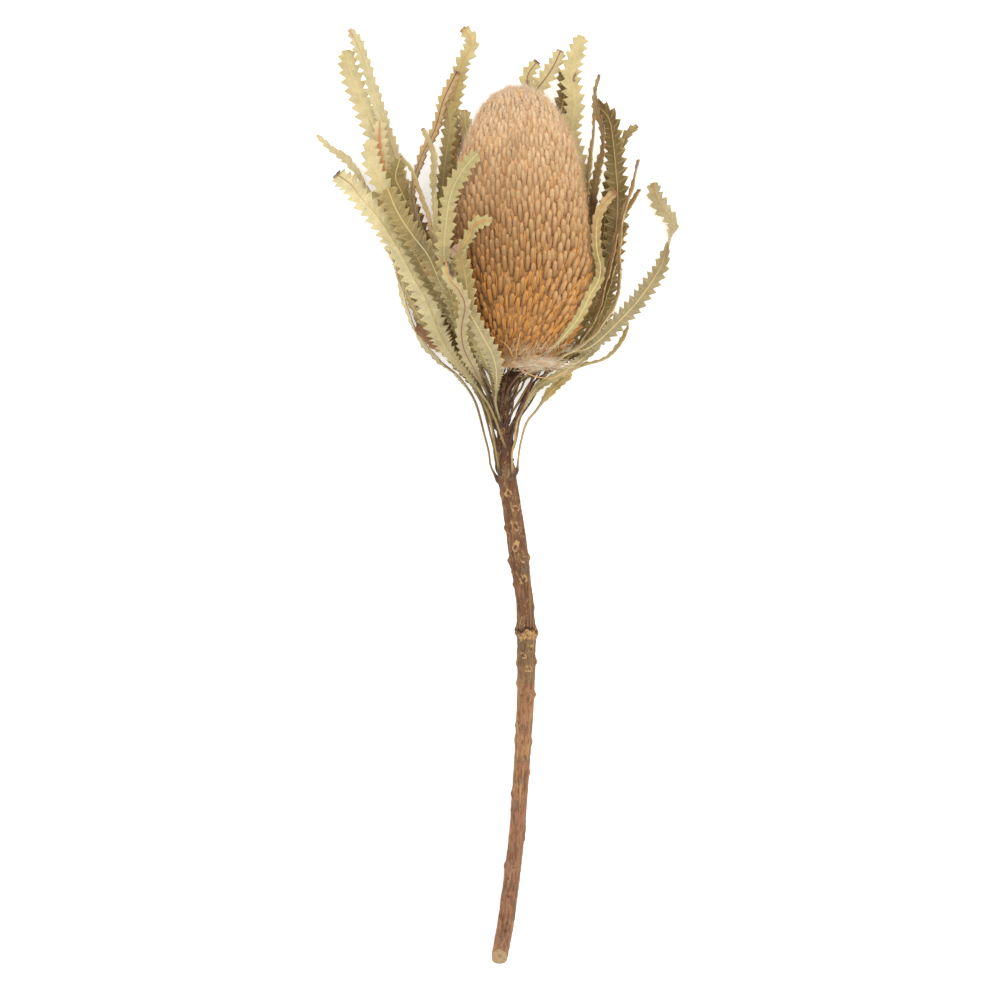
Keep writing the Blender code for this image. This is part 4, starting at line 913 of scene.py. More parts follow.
# How far a floret strays along and round the cone, and how large it is for the room it has.
STRAY = (0.5, 0.34)
FULL_ROOM = 5.4
SMALLEST = 0.35
SIZE_POWER = 0.75
LEAN_DEGREES = 24.0
LEAN_LENGTH = 52.0
# The lowest florets turn to the cone's axis: their share at the start and the length it fades over.
CLIMB = (1.3, 34.0)
# Low florets are more ragged, up to this height: more tilt, and how much shorter, thinner and shallower.
RAGGED_LENGTH = 42.0
RAGGED_TILT, SHORTER, THINNER, SHALLOWER = 12, 0.12, 0.2, 0.25
# How florets differ: lean and tilt in degrees, even and ragged, and ranges of length and thickness.
LEAN_STRAY, TILT_STRAY = (3, 7), (2.5, 6)
LENGTHS, RAGGED_LENGTHS, THICKNESSES = (0.82, 1.14), (-0.35, 0.3), (0.8, 1.12)
SUNK_SHARE = 0.02
SUNK_DEPTH = 1.6
BEND = 0.25
# Browner patches of the cone: painted shade on its left side and both lower edges, and smaller browner
# patches on its front. Each gives distance along the axis, degrees round it, length, spread and amount.
SHADE_AND_STAINS = [(48, 128, 26, 0.6, 0.75), (72, 108, 16, 0.3, 0.4), (30, 150, 22, 0.5, 0.6), (40, 90, 14, 0.3, 0.3),
          (98, 92, 6, 0.16, 0.6), (60, 200, 40, 0.8, 0.3), (60, 320, 40, 0.8, 0.3)]
CORE_ROWS, CORE_SIDES = 70, 72
# The core's depth, how much less it is at the dome, where that starts and over what length, its stray.
CORE_DEPTH = (2.7, 1.1, 60, 50)
CORE_STRAY = 0.25
# The wool: hairs on each floret, where they stand along it and round it, their reach and their width.
HAIRS = 22
HAIR_PLACES, HAIR_TURNS, HAIR_REACH = (0.35, 1.02), (-1.9, 1.9), (0.9, 2.0)
HAIR_WIDTH = 0.05
HAIR_CORNERS = (0.0, 2.094, 4.189)
# The styles: how long low down they last, how many stand twice, and their radii.
STYLE_LENGTH = 44.0
STYLE_TWICE = 0.35
STYLE_LEFT = 0.88
STYLE_RADII = np.array([0.10, 0.13, 0.15, 0.17, 0.2, 0.12])


def outline_rows():
    """The cone's outline at fine steps: distance along the outline, its axis place and radius, and slope."""
    outline = smooth_curve([(t, r, 0.0) for t, r in CONE_OUTLINE], 0.5)
    run = run_length(outline)
    slope = unit(np.gradient(outline[:, :2], run, axis=0))
    return run, outline[:, :2], slope


def on_cone(t_run, angle, rows):
    """Points, slope ways, outward ways, round ways and axis places of the cone's surface."""
    run, outline, slope = rows
    base, axis, across, up = cone_frame()
    t, r = np.interp(t_run, run, outline[:, 0]), np.interp(t_run, run, outline[:, 1])
    st, sr = np.interp(t_run, run, slope[:, 0]), np.interp(t_run, run, slope[:, 1])
    radial = np.cos(angle)[:, None] * across + np.sin(angle)[:, None] * up
    round_way = -np.sin(angle)[:, None] * across + np.cos(angle)[:, None] * up
    point = base + t[:, None] * axis + r[:, None] * radial
    along_way = st[:, None] * axis + sr[:, None] * radial
    return point, along_way, st[:, None] * radial - sr[:, None] * axis, round_way, t


def floret_places(rows):
    """Where the florets stand, in staggered columns up the cone, and the room that each has."""
    run, outline, _ = rows
    least, added = ROW_SHARES
    steps = [FIRST_ROW]
    while steps[-1] < run[-1] - LAST_ROW:
        radius = np.interp(steps[-1], run, outline[:, 1])
        steps.append(steps[-1] + ROW_STEP * (least + added * min(1.0, radius / FULL_ROW_RADIUS)))
    places = []
    for row, at in enumerate(steps):
        radius = np.interp(at, run, outline[:, 1])
        count = COLUMNS
        if radius <= FULL_COLUMNS_RADIUS:
            count = max(6, round(COLUMNS * radius / FULL_COLUMNS_RADIUS / 2) * 2 + 1)
        for k in range(count):
            places.append((at, 2 * math.pi * (k + 0.5 * (row % 2)) / count, 2 * math.pi * radius / count))
    return np.array(places).T


def tubes(lines, radii, sides):
    """Closed tubes along many lines with the same number of points: points, triangles, points of each."""
    lines, radii = np.asarray(lines, float), np.asarray(radii, float)
    count, rows = lines.shape[:2]
    forward = unit(np.gradient(lines, axis=1) + 1e-9)
    helper = np.where(np.abs(forward[..., 2:3]) > 0.9, np.array([1.0, 0.0, 0.0]), np.array([0.0, 0.0, 1.0]))
    x_way = unit(np.cross(forward, helper))
    z_way = np.cross(x_way, forward)
    angle = 2 * math.pi * np.arange(sides) / sides
    ring = np.cos(angle)[:, None] * x_way[:, :, None] + np.sin(angle)[:, None] * z_way[:, :, None]
    verts = lines[:, :, None] + radii[:, :, None, None] * ring
    verts = np.concatenate([verts.reshape(count, -1, 3), lines[:, :1], lines[:, -1:]], axis=1)
    each = rows * sides + 2
    faces = (tube_faces(rows, sides)[None] + each * np.arange(count)[:, None, None]).reshape(-1, 3)
    return verts.reshape(-1, 3), faces, each


def make_florets(rows):
    """The florets as woolly fingers in staggered columns, with what the hairs and styles need."""
    at, angle, room = floret_places(rows)
    count = len(at)
    along_stray, round_stray = STRAY
    at = at + rng.normal(0, along_stray, count)
    row_radius = room * COLUMNS / 6.28
    angle = angle + rng.normal(0, round_stray, count) / np.maximum(row_radius, 2)
    point, along_way, outward, round_way, t = on_cone(at, angle, rows)
    size = np.clip(room / FULL_ROOM, SMALLEST, 1.0) ** SIZE_POWER
    ragged = np.clip(1 - t / RAGGED_LENGTH, 0.0, 1.0)
    lean_stray, tilt_stray = (even + more * ragged for even, more in (LEAN_STRAY, TILT_STRAY))
    lean = np.radians(LEAN_DEGREES * np.clip(1 - t / LEAN_LENGTH, 0, 1) + rng.normal(0, lean_stray))
    tilt = np.radians(FINGER_TILT + RAGGED_TILT * ragged + rng.normal(0, tilt_stray))
    climb = np.clip(CLIMB[0] - at / CLIMB[1], 0.0, 1.0)[:, None]
    along_way = unit(along_way * (1 - climb) + cone_frame()[1] * climb)
    way = along_way * np.cos(lean)[:, None] - round_way * np.sin(lean)[:, None]
    way = way * np.cos(tilt)[:, None] + outward * np.sin(tilt)[:, None]
    length = FINGER_LENGTH * size * rng.uniform(*LENGTHS, count) * (1 - SHORTER * ragged)
    length = length * (1 + ragged * rng.uniform(*RAGGED_LENGTHS, count))
    thick = FINGER_RADIUS * size * rng.uniform(*THICKNESSES, count) * (1 - THINNER * ragged)
    sunk = np.where(rng.random(count) < SUNK_SHARE, SUNK_DEPTH, 0.0)
    start = point - outward * (FINGER_SINK * size * (1 - SHALLOWER * ragged) + sunk)[:, None]
    ring_at, ring_size = FINGER_RINGS.T
    bend = rng.normal(0, BEND, (count, 1, 1)) * round_way[:, None]
    lines = start[:, None] + way[:, None] * (length[:, None] * ring_at)[..., None] \
        + bend * (ring_at ** 2)[None, :, None]
    verts, faces, each = tubes(lines, thick[:, None] * ring_size, FINGER_SIDES)
    verts = verts.reshape(count, each, 3)
    verts[:, -1] = start + way * length[:, None] + bend[:, 0]
    side = np.einsum("nkj,nj->nk", verts - lines[:, :1], round_way)
    # Painted shade on the cone's left side and lower edges, and smaller browner patches on its front.
    shade_and_stain = sum(amount * np.exp(-((t - patch_at) / long) ** 2 - turn_from(angle, patch_turn) ** 2 / wide ** 2)
               for patch_at, patch_turn, long, wide, amount in SHADE_AND_STAINS)
    numbers = {
        "floret_share": np.tile(np.concatenate([np.repeat(ring_at, FINGER_SIDES), [0.0, 1.0]]), count),
        "floret_up": np.repeat(t / CONE_LENGTH, each), "floret_luck": np.repeat(rng.random(count), each),
        "floret_shade_and_stain": np.repeat(shade_and_stain, each), "floret_side": side.ravel() / np.repeat(thick, each),
    }
    material = floret_material()
    for name, low, high in (("cone_florets_lower", 0, count // 2), ("cone_florets_upper", count // 2, count)):
        face = faces.reshape(count, -1, 3)[low:high].reshape(-1, 3) - low * each
        add_piece(name, verts[low:high].reshape(-1, 3), face, material, "cone",
                  {k: v[low * each:high * each] for k, v in numbers.items()})
    return start, way, outward, round_way, length, thick, t


def floret_material():
    """Woolly floret: tan, paler and pinker at the dome, rubbed orange tips low down, painted shade on its
    root and on the cone's left and lower sides, and a painted highlight on its tip.
    """
    n = Nodes("cone_floret", 0.85, specular=0.1, sheen=0.08)
    share, up, luck = n.attribute("floret_share"), n.attribute("floret_up"), n.attribute("floret_luck")
    across = n.attribute("floret_side")
    n.base = n.mix(n.between(up, 0.0, 0.4), shade(216, 176, 122), shade(202, 162, 112))
    n.over(n.between(up, 0.35, 1.0), shade(236, 206, 166))
    n.over(n.between(luck, 0.0, 1.0, 0.0, 0.5), shade(188, 148, 100))
    # Painted shade on the cone's left side and lower edges, and browner patches on its front, laid over the
    # florets.
    n.over(n.times(n.attribute("floret_shade_and_stain"), 0.75), shade(132, 92, 52))
    n.over(1.0, n.between(n.noise(1500, 4), 0.25, 0.75, 0.74, 1.14), "MULTIPLY")
    # Painted shade on each floret's root, where the floret above shades it, a painted highlight on its tip,
    # and an orange stripe down the side where its styles lie.
    for where, how_high, colour in (
            (n.between(share, 0.3, 0.74, 0.62, 0.0), n.between(up, 0.4, 0.9, 1.0, 0.4), (160, 112, 66)),
            (n.between(share, 0.7, 0.94), n.between(up, 0.1, 0.4, 0.12, 0.26), (238, 192, 136)),
            (n.between(across, -1.0, -0.3, 0.5, 0.0), n.between(up, 0.1, 0.5, 1.0, 0.3), (204, 138, 56))):
        n.over(n.times(where, how_high), shade(*colour))
    split = n.between(n.math("ABSOLUTE", n.plus(across, 0.15)), 0.04, 0.3, 1.0, 0.0)
    split = n.times(split, n.between(up, 0.12, 0.42, 0.85, 0.0))
    split = n.times(split, n.between(share, 0.3, 0.6))
    n.over(n.times(split, n.between(luck, 0.25, 0.5)), shade(196, 104, 26))
    dot = n.times(n.between(share, 0.86, 0.97), n.between(n.noise(900, 2), 0.42, 0.6))
    n.over(n.times(dot, n.between(up, 0.2, 0.9, 0.9, 0.5)), shade(230, 150, 58))
    n.bump(n.noise(3800, 3), 0.0002, 0.6)
    return n.finish()


def make_core(rows):
    """The cone's dark core behind the florets."""
    run = rows[0]
    steps = np.linspace(0.0, run[-1], CORE_ROWS)
    angle = 2 * math.pi * np.arange(CORE_SIDES) / CORE_SIDES
    rings = []
    deep, less, less_from, less_over = CORE_DEPTH
    for at in steps:
        point, _, outward, _, _ = on_cone(np.full(CORE_SIDES, at), angle, rows)
        stray = rng.normal(0, CORE_STRAY, CORE_SIDES)
        depth = deep - less * np.clip((at - less_from) / less_over, 0, 1) + stray
        rings.append(point - outward * depth[:, None] * min(1.0, 0.25 + at / 12.0))
    verts = np.concatenate(rings + [rings[0].mean(0, keepdims=True), rings[-1].mean(0, keepdims=True)])
    n = Nodes("cone_core", 0.95, specular=0.05)
    n.base = n.mix(n.between(n.noise(900, 4), 0.35, 0.65), shade(176, 126, 72), shade(214, 164, 106))
    n.over(n.between(n.attribute("core_up"), 0.35, 0.9), shade(236, 194, 144))
    n.bump(n.noise(2500, 3), 0.0004)
    core_up = np.append(np.repeat(steps / run[-1], CORE_SIDES), [0.0, 1.0])
    add_piece("cone_core", verts, tube_faces(CORE_ROWS, CORE_SIDES), n.finish(), "cone",
              {"core_up": core_up})


def slivers(roots, tips, width):
    """Fine hairs as closed three-sided slivers, from root to tip."""
    count = len(roots)
    way = unit(tips - roots)
    x_way = unit(np.cross(way, rng.normal(size=(count, 3))))
    z_way = np.cross(way, x_way)
    corners = [roots + width * (math.cos(q) * x_way + math.sin(q) * z_way) for q in HAIR_CORNERS]
    verts = np.stack([*corners, tips], axis=1).reshape(-1, 3)
    one = np.array([(0, 1, 3), (1, 2, 3), (2, 0, 3), (0, 2, 1)])
    return verts, (one[None] + 4 * np.arange(count)[:, None, None]).reshape(-1, 3)


def make_wool(florets):
    """Fine pale hairs that stand off the florets."""
    start, way, outward, round_way, length, thick, t = florets
    count = len(start)
    pick = np.repeat(np.arange(count), HAIRS)
    share = rng.uniform(*HAIR_PLACES, len(pick))
    turn = rng.uniform(*HAIR_TURNS, len(pick))
    off = np.cos(turn)[:, None] * outward[pick] + np.sin(turn)[:, None] * round_way[pick]
    roots = start[pick] + way[pick] * (share * length[pick])[:, None] + off * (0.7 * thick[pick])[:, None]
    dome = np.clip(t[pick] / CONE_LENGTH * 2.2 - 1.1, 0.0, 1.0)
    reach = rng.uniform(*HAIR_REACH, len(pick)) * np.clip(thick[pick], 0.5, 1.2) * (1 + 0.8 * dome)
    lay = way[pick] * 0.75 + off * 0.75 + rng.normal(0, 0.3, (len(pick), 3))
    tips = roots + lay * reach[:, None]
    n = Nodes("cone_wool", 0.9, specular=0.05, sheen=0.05)
    n.base = n.mix(n.noise(500, 2), shade(202, 158, 102), shade(230, 192, 140))
    n.over(n.between(n.attribute("wool_up"), 0.35, 0.95), shade(252, 230, 200))
    material = n.finish()
    half = (count // 2) * HAIRS
    for name, part in (("cone_wool_lower", slice(0, half)), ("cone_wool_upper", slice(half, None))):
        verts, faces = slivers(roots[part], tips[part], HAIR_WIDTH)
        add_piece(name, verts, faces, material, "cone",
                  {"wool_up": np.repeat(t[pick[part]] / CONE_LENGTH, 4)})


def make_styles(florets):
    """Worn orange styles beside the lower florets."""
    start, way, outward, round_way, length, thick, t = florets
    chance = np.clip(1.25 - t / STYLE_LENGTH, 0.03, 1.0)
    pick = np.nonzero(rng.random(len(t)) < chance)[0]
    pick = np.concatenate([pick, pick[rng.random(len(pick)) < STYLE_TWICE]])
    count = len(pick)
    share = np.linspace(0.0, 1.0, len(STYLE_RADII))
    reach = length[pick] * rng.uniform(0.75, 1.18, count)
    beside = thick[pick] * rng.uniform(0.7, 1.3, count) * np.where(rng.random(count) < STYLE_LEFT, 1, -1)
    side = -round_way[pick] * beside[:, None]
    lift = outward[pick] * (thick[pick] * rng.uniform(0.3, 1.0, count))[:, None]
    curl = round_way[pick] * rng.normal(0, 0.9, (count, 1))
    curl = curl + outward[pick] * rng.uniform(-0.2, 1.2, (count, 1))
    lines = (start[pick] + side + lift)[:, None] + way[pick][:, None] * (reach[:, None] * share)[..., None] \
        + curl[:, None] * (share ** 2)[None, :, None]
    radii = np.tile(STYLE_RADII, (count, 1)) * rng.uniform(0.8, 1.2, (count, 1))
    verts, faces, _ = tubes(lines, radii, 4)
    n = Nodes("cone_style", 0.45, specular=0.4)
    n.base = n.mix(n.noise(400, 2), shade(226, 138, 34), shade(244, 184, 92))
    add_piece("cone_styles", verts, faces, n.finish(), "cone")


# Woolly tufts at the cone's base: the middle, how many hairs, which way they lie, and how pale it is.
TUFTS = [
    ((2, 65, 40), 70, (0.3, 0.7, 0.4), 0.1), ((6, 61, 43), 110, (0.5, 0.6, 0.4), 0.3),
    ((10, 59.5, 46), 170, (0.8, 0.3, 0.4), 0.5), ((15, 59.5, 48), 300, (1.0, 0.05, 0.2), 0.9),
    ((19, 60, 48), 260, (1.0, 0.0, 0.1), 1.0), ((24, 59.5, 45), 130, (1.0, 0.1, 0.0), 0.8),
    ((29, 59, 42), 36, (1.0, 0.3, 0.0), 0.8), ((33, 65.5, 41), 24, (0.8, 0.5, 0.1), 0.9),
    ((9, 66, 51), 44, (0.4, 0.9, 0.3), 0.3), ((15, 65, 52), 40, (0.6, 0.8, 0.3), 0.5),
    ((22, 66, 50), 34, (0.7, 0.7, 0.2), 0.5), ((-3, 70, 44), 40, (0.3, 0.8, 0.3), 0.1),
]
TUFT_SIZE = (2.6, 1.3, 1.3)
TUFT_REACH = (3.0, 7.0)
TUFT_SINK = 1.5
TUFT_HAIR = 0.1
# Loose styles at the cone's base.
LOOSE = [
    [(11, 73, 54), (9.5, 66, 53), (8.5, 60, 49), (3.5, 58.5, 46)],
    [(11, 57, 47), (17, 54, 49), (24, 53, 47), (29, 54.5, 45), (32.5, 56.5, 44)],
    [(2, 70, 50), (5.5, 67, 54), (8, 62, 53)],
    [(27, 84, 54), (30, 87.5, 52), (33, 88, 49)],
    [(13, 62, 50), (16, 62.5, 51), (20, 63, 51)],
    [(17, 61.5, 50), (20, 60.5, 50), (24, 60, 48)],
]
LOOSE_POINTS, LOOSE_ENDS = 16, (0.24, 0.16)
# Thin dark stalks from the stem to the cone: how many, where they start, and how far out they end.
BASE_STALKS = 13
STALK_STARTS, STALK_OUT = (20, 44), (8.5, 14.0)
STALK_POINTS, STALK_ENDS = 12, (0.52, 0.3)
# Stubs of broken stalks on the stem: y, degrees round it and reach in millimetres.
STUBS = [(30, 184, 4.2), (24, 168, 3.4), (15, 182, 2.6), (16, 2, 1.8), (9, 150, 2.4), (11, 20, 1.8)]
STUB_ENDS = (1.0, 0.7)
THIN_SIDES = 6


def even_line(points, step, count):
    """A count of points at even distances along a smooth curve."""
    line = smooth_curve(points, step)
    run = run_length(line)
    return along(line, run, np.linspace(0, run[-1], count))


def make_base_wool():
    """Tufts of wool under the cone."""
    roots, tips, pale = [], [], []
    for middle, count, lay, light in TUFTS:
        root = np.array(middle) + rng.normal(0, TUFT_SIZE, (count, 3))
        way = unit(np.array(lay) + rng.normal(0, 0.34, (count, 3)))
        roots.append(root - way * TUFT_SINK)
        tips.append(root + way * rng.uniform(*TUFT_REACH, (count, 1)))
        pale.append(np.full(4 * count, light))
    n = Nodes("base_wool", 0.9, specular=0.05, sheen=0.05)
    low = n.mix(n.between(n.noise(300, 2), 0.3, 0.7), shade(196, 142, 78), shade(236, 192, 130))
    high = n.mix(n.between(n.noise(420, 2), 0.3, 0.7), shade(246, 214, 168), shade(255, 247, 224))
    n.base = n.mix(n.attribute("tuft_pale"), low, high)
    verts, faces = slivers(np.vstack(roots), np.vstack(tips), TUFT_HAIR)
    add_piece("cone_base_wool", verts, faces, n.finish(), "cone",
              {"tuft_pale": np.concatenate(pale)})


def make_loose_styles():
    """Loose styles that hang at the cone's base."""
    lines = [even_line(route, 1.0, LOOSE_POINTS) for route in LOOSE]
    radii = np.tile(np.linspace(*LOOSE_ENDS, LOOSE_POINTS), (len(lines), 1))
    verts, faces, _ = tubes(lines, radii, THIN_SIDES)
    n = Nodes("loose_style", 0.5, specular=0.3)
    n.base = n.mix(n.noise(300, 2), shade(214, 150, 74), shade(226, 184, 124))
    add_piece("cone_loose_styles", verts, faces, n.finish(), "cone")


def make_base_stalks():
    """Thin dark stalks under the cone, and stubs of broken ones."""
    base, axis, across, up = cone_frame()
    lines = []
    for k in range(BASE_STALKS):
        turn = 2 * math.pi * (k + 0.5 * rng.random()) / BASE_STALKS
        radial = math.cos(turn) * across + math.sin(turn) * up
        low, radius = stem_at(STEM, rng.uniform(*STALK_STARTS))
        start = low + radial * radius * 0.85
        end = base + radial * rng.uniform(*STALK_OUT) + axis * rng.uniform(0.5, 2.5)
        bulge = (start + end) / 2 + radial * rng.uniform(0.2, 2.2) + rng.normal(0, 0.6, 3)
        lines.append(even_line([start, bulge, end], 0.5, STALK_POINTS))
    for y, turn, reach in STUBS:
        low, radius = stem_at(STEM, y)
        radial = out_way(turn)
        start = low + radial * radius * 0.6
        end = start + radial * reach * 0.75 + np.array([0.0, 0.8 * reach, 0.0])
        bow = np.sin(np.linspace(0, math.pi, STALK_POINTS))[:, None]
        lines.append(start + (end - start) * np.linspace(0, 1, STALK_POINTS)[:, None] + radial * 0.3 * bow)
    radii = np.tile(np.linspace(*STALK_ENDS, STALK_POINTS), (len(lines), 1))
    radii[-len(STUBS):] = np.linspace(*STUB_ENDS, STALK_POINTS)
    verts, faces, _ = tubes(lines, radii, THIN_SIDES)
    n = Nodes("base_stalk", 0.75, specular=0.2)
    n.base = n.mix(n.between(n.noise(500, 3), 0.35, 0.65), shade(72, 48, 38), shade(122, 88, 66))
    add_piece("stem_base_stalks", verts, faces, n.finish(), "stem")


# The stem's fine form.
STEM_ROUND = 72
STEM_ROWS = 0.75
# The cells of the bark's noise, round the stem and along it, and its layers in the bark and in torn
# places: height, share of the cells round, length, shift along and seed.
NOISE_CELLS = (64, 1024)
BARK_LAYERS = ((0.2, 0.5, 7.0, 0, 3), (0.13, 0.5, 2.4, 40, 5), (0.08, 1.0, 1.2, 0, 8))
TORN_LAYERS = ((0.55, 0.5, 1.1, 0, 11), (0.35, 1.0, 0.6, 0, 12))
# How pale the scars are, one after the other, and how strong they are along the stem.
SCAR_PALE = [1.0, 0.8, 0.85, 0.9, 1.0, 0.7, 0.9]
SCAR_FADE = (165.0, 75.0, 0.3)
# Knobs at the stem's sides: y, degrees round it and height.
KNOBS = [(2, 178, 0.5), (-13.4, 176, 0.8), (-28, 178, 1.2), (-39, 176, 0.9), (-75, 178, 0.8), (-84, 176, 0.7),
         (-103, 180, 0.6), (-134, 178, 0.7), (-167, 176, 0.8), (-27.5, 4, 0.9), (-50, 2, 0.6), (-74, 4, 0.7),
         (-89, 2, 0.8), (-110, 2, 0.5), (-124, 0, 0.5), (-154, 2, 0.5)]
KNOB_SIZE = (1.3, 0.3)
# The height, length and spread of the bark at a leaf's foot.
FOOT_SIZE = (0.9, 1.9, 0.42)
# Rows that ease into the slanted cut end, and the rings of the cut face as parts of its radius.
CUT_ROWS = 14
CUT_RINGS = (0.1, 0.22, 0.4, 0.6, 0.8, 0.97)


def value_noise(x, y, seed):
    """Smooth noise on a plane, from -1 to 1, that repeats after the cells of its table."""
    across, upward = NOISE_CELLS
    table = np.random.default_rng(seed).uniform(-1, 1, NOISE_CELLS)
    xi, yi = np.floor(x).astype(int), np.floor(y).astype(int)
    fx, fy = x - xi, y - yi
    fx, fy = fx * fx * (3 - 2 * fx), fy * fy * (3 - 2 * fy)
    a, b = table[xi % across, yi % upward], table[(xi + 1) % across, yi % upward]
    c, d = table[xi % across, (yi + 1) % upward], table[(xi + 1) % across, (yi + 1) % upward]
    return (a * (1 - fx) + b * fx) * (1 - fy) + (c * (1 - fx) + d * fx) * fy


def layered_noise(layers, y, turn):
    """Layers of noise on the bark, one over the other."""
    cells = turn / (2 * math.pi) * NOISE_CELLS[0]
    return sum(height * value_noise(cells * share, y / length + shift, seed)
               for height, share, length, shift, seed in layers)


def bark_form(half, y, turn):
    """The bark's radius, and how much of it is scar, hole, crack, peel and low ground."""
    bark, torn = layered_noise(BARK_LAYERS, y, turn), layered_noise(TORN_LAYERS, y, turn)
    radius = half * (1 + sum(d * np.sin(c * turn + w * y) for c, d, w in BARK_RIDGES))
    ring_y, ring_height, ring_length = STEM_RING
    jag = 0.8 * np.sin(3 * turn + 1.0) + 0.5 * np.sin(7 * turn)
    ring = np.exp(-((y + jag - ring_y) / ring_length) ** 2)
    crack = np.exp(-((y + jag - ring_y - 1.6) / 0.6) ** 2)
    peel = np.clip(1.15 - ((y + jag - ring_y + 1.2) / 2.6) ** 2 - 0.9 * (1 - np.sin(turn + 0.3)), 0, 1)
    radius = radius + ring_height * ring - 0.45 * crack
    scar_height, scar_length, scar_spread = SCAR_SIZE
    scar, hole = 0 * y, 0 * y
    for k, (scar_y, scar_angle) in enumerate(SCARS):
        away = turn_from(turn, scar_angle)
        size = 0.32 + 0.3 * (math.sin(12.9 * k) * 0.5 + 0.5)
        long, wide = scar_length * size, scar_spread * (size + 0.1 * math.sin(1.3 * k))
        bulge = np.exp(-((y - scar_y) / scar_length) ** 2 - (away / scar_spread) ** 2)
        radius = radius + scar_height * 0.6 * bulge
        slant = (y - scar_y) / long + 0.5 * math.sin(3.7 * k) * away / wide
        rim = slant ** 2 + (away / wide) ** 2
        rim = rim * (1 + torn) + 0.25 * torn
        scar = np.maximum(scar, np.exp(-((rim - 1.0) / 0.55) ** 2) * SCAR_PALE[k % len(SCAR_PALE)])
        hole = np.maximum(hole, np.exp(-np.maximum(rim, 0.0) * 3.0))
    knob_length, knob_spread = KNOB_SIZE
    for knob_y, knob_angle, knob_height in KNOBS:
        knob = np.exp(-((y - knob_y) / knob_length) ** 2 - (turn_from(turn, knob_angle) / knob_spread) ** 2)
        radius = radius + 0.85 * knob_height * knob * (1 + 0.4 * torn)
        scar = np.maximum(scar, 0.7 * knob)
    fade_y, fade_length, faintest = SCAR_FADE
    scar = scar * np.clip((y + fade_y) / fade_length, faintest, 1.0)
    foot_height, foot_length, foot_spread = FOOT_SIZE
    for foot, *_ in LEAVES.values():
        away = turn_from(turn, foot[1]) / foot_spread
        radius = radius + foot_height * np.exp(-((y - foot[0] + 0.8) / foot_length) ** 2 - away ** 2)
    radius = radius + bark * (1 - 0.5 * scar) - 0.4 * hole + 0.3 * scar
    return radius, scar, hole, crack, peel, np.clip(-bark * 4, 0, 1)


def make_stem():
    """The woody stem: ridged bark, scars of fallen leaves, a node ring and a slanted cut end."""
    line = smooth_curve(STEM_ROUTE, STEM_ROWS)
    forward = unit(np.gradient(line[:, :3], axis=0))
    right = unit(np.cross(forward, (0.0, 0.0, 1.0)))
    up = np.cross(right, forward)
    angle = 2 * math.pi * np.arange(STEM_ROUND) / STEM_ROUND
    y = line[:, 1][:, None] + 0 * angle
    radius, scar, hole, crack, peel, low = bark_form(line[:, 3][:, None] / 2, y, angle[None] + 0 * y)
    verts = line[:, None, :3] + radius[..., None] * (
        np.cos(angle)[None, :, None] * right[:, None] + np.sin(angle)[None, :, None] * up[:, None])

    # The slanted cut end, the end under the cone, and the rings of the cut face.
    cut_y = line[0, 1] + CUT_SLOPE * (verts[0, :, 2] - line[0, 2])
    for r in range(CUT_ROWS):
        share = r / CUT_ROWS
        verts[r, :, 1] = cut_y * (1 - share) + verts[CUT_ROWS, :, 1] * share
    base, axis, _, _ = cone_frame()
    for row in verts[-3:]:
        row -= np.clip((row - base) @ axis + GAP, 0, None)[:, None] * axis
    centre = verts[0].mean(0)
    cut = []
    for share in CUT_RINGS:
        sink = 0.15 * math.sin(9 * share) + (0.35 if share < 0.2 else 0.0)
        cut.append(centre + (verts[0] - centre) * share + np.array([0.0, sink + 0.12, 0.0]))
    whole = np.concatenate([cut, verts])
    flat = np.concatenate([whole.reshape(-1, 3), cut[0].mean(0, keepdims=True) + [[0, 0.2, 0]],
                           verts[-1].mean(0, keepdims=True)])

    def per_vertex(values, cut_value=0.0, first=0.0, last=0.0):
        head = np.broadcast_to(np.asarray(cut_value, float).reshape(-1, 1), (len(cut), STEM_ROUND))
        return np.concatenate([head, np.broadcast_to(values, y.shape)]).ravel().tolist() + [first, last]

    cut_middle = STEM_ROUTE[0][1]
    numbers = {
        "stem_y": per_vertex(y, cut_middle, cut_middle, STEM_ROUTE[-1][1]), "stem_scar": per_vertex(scar),
        "stem_hole": per_vertex(hole), "stem_ring": per_vertex(crack),
        "stem_peel": per_vertex(peel), "stem_low": per_vertex(low),
        "stem_cut": per_vertex(0.0, 1.0, 1.0), "stem_share": per_vertex(1.0, CUT_RINGS, 0.0, 1.0),
    }
    add_piece("stem_bark", flat, tube_faces(len(whole), STEM_ROUND), stem_material(), "stem",
              numbers)


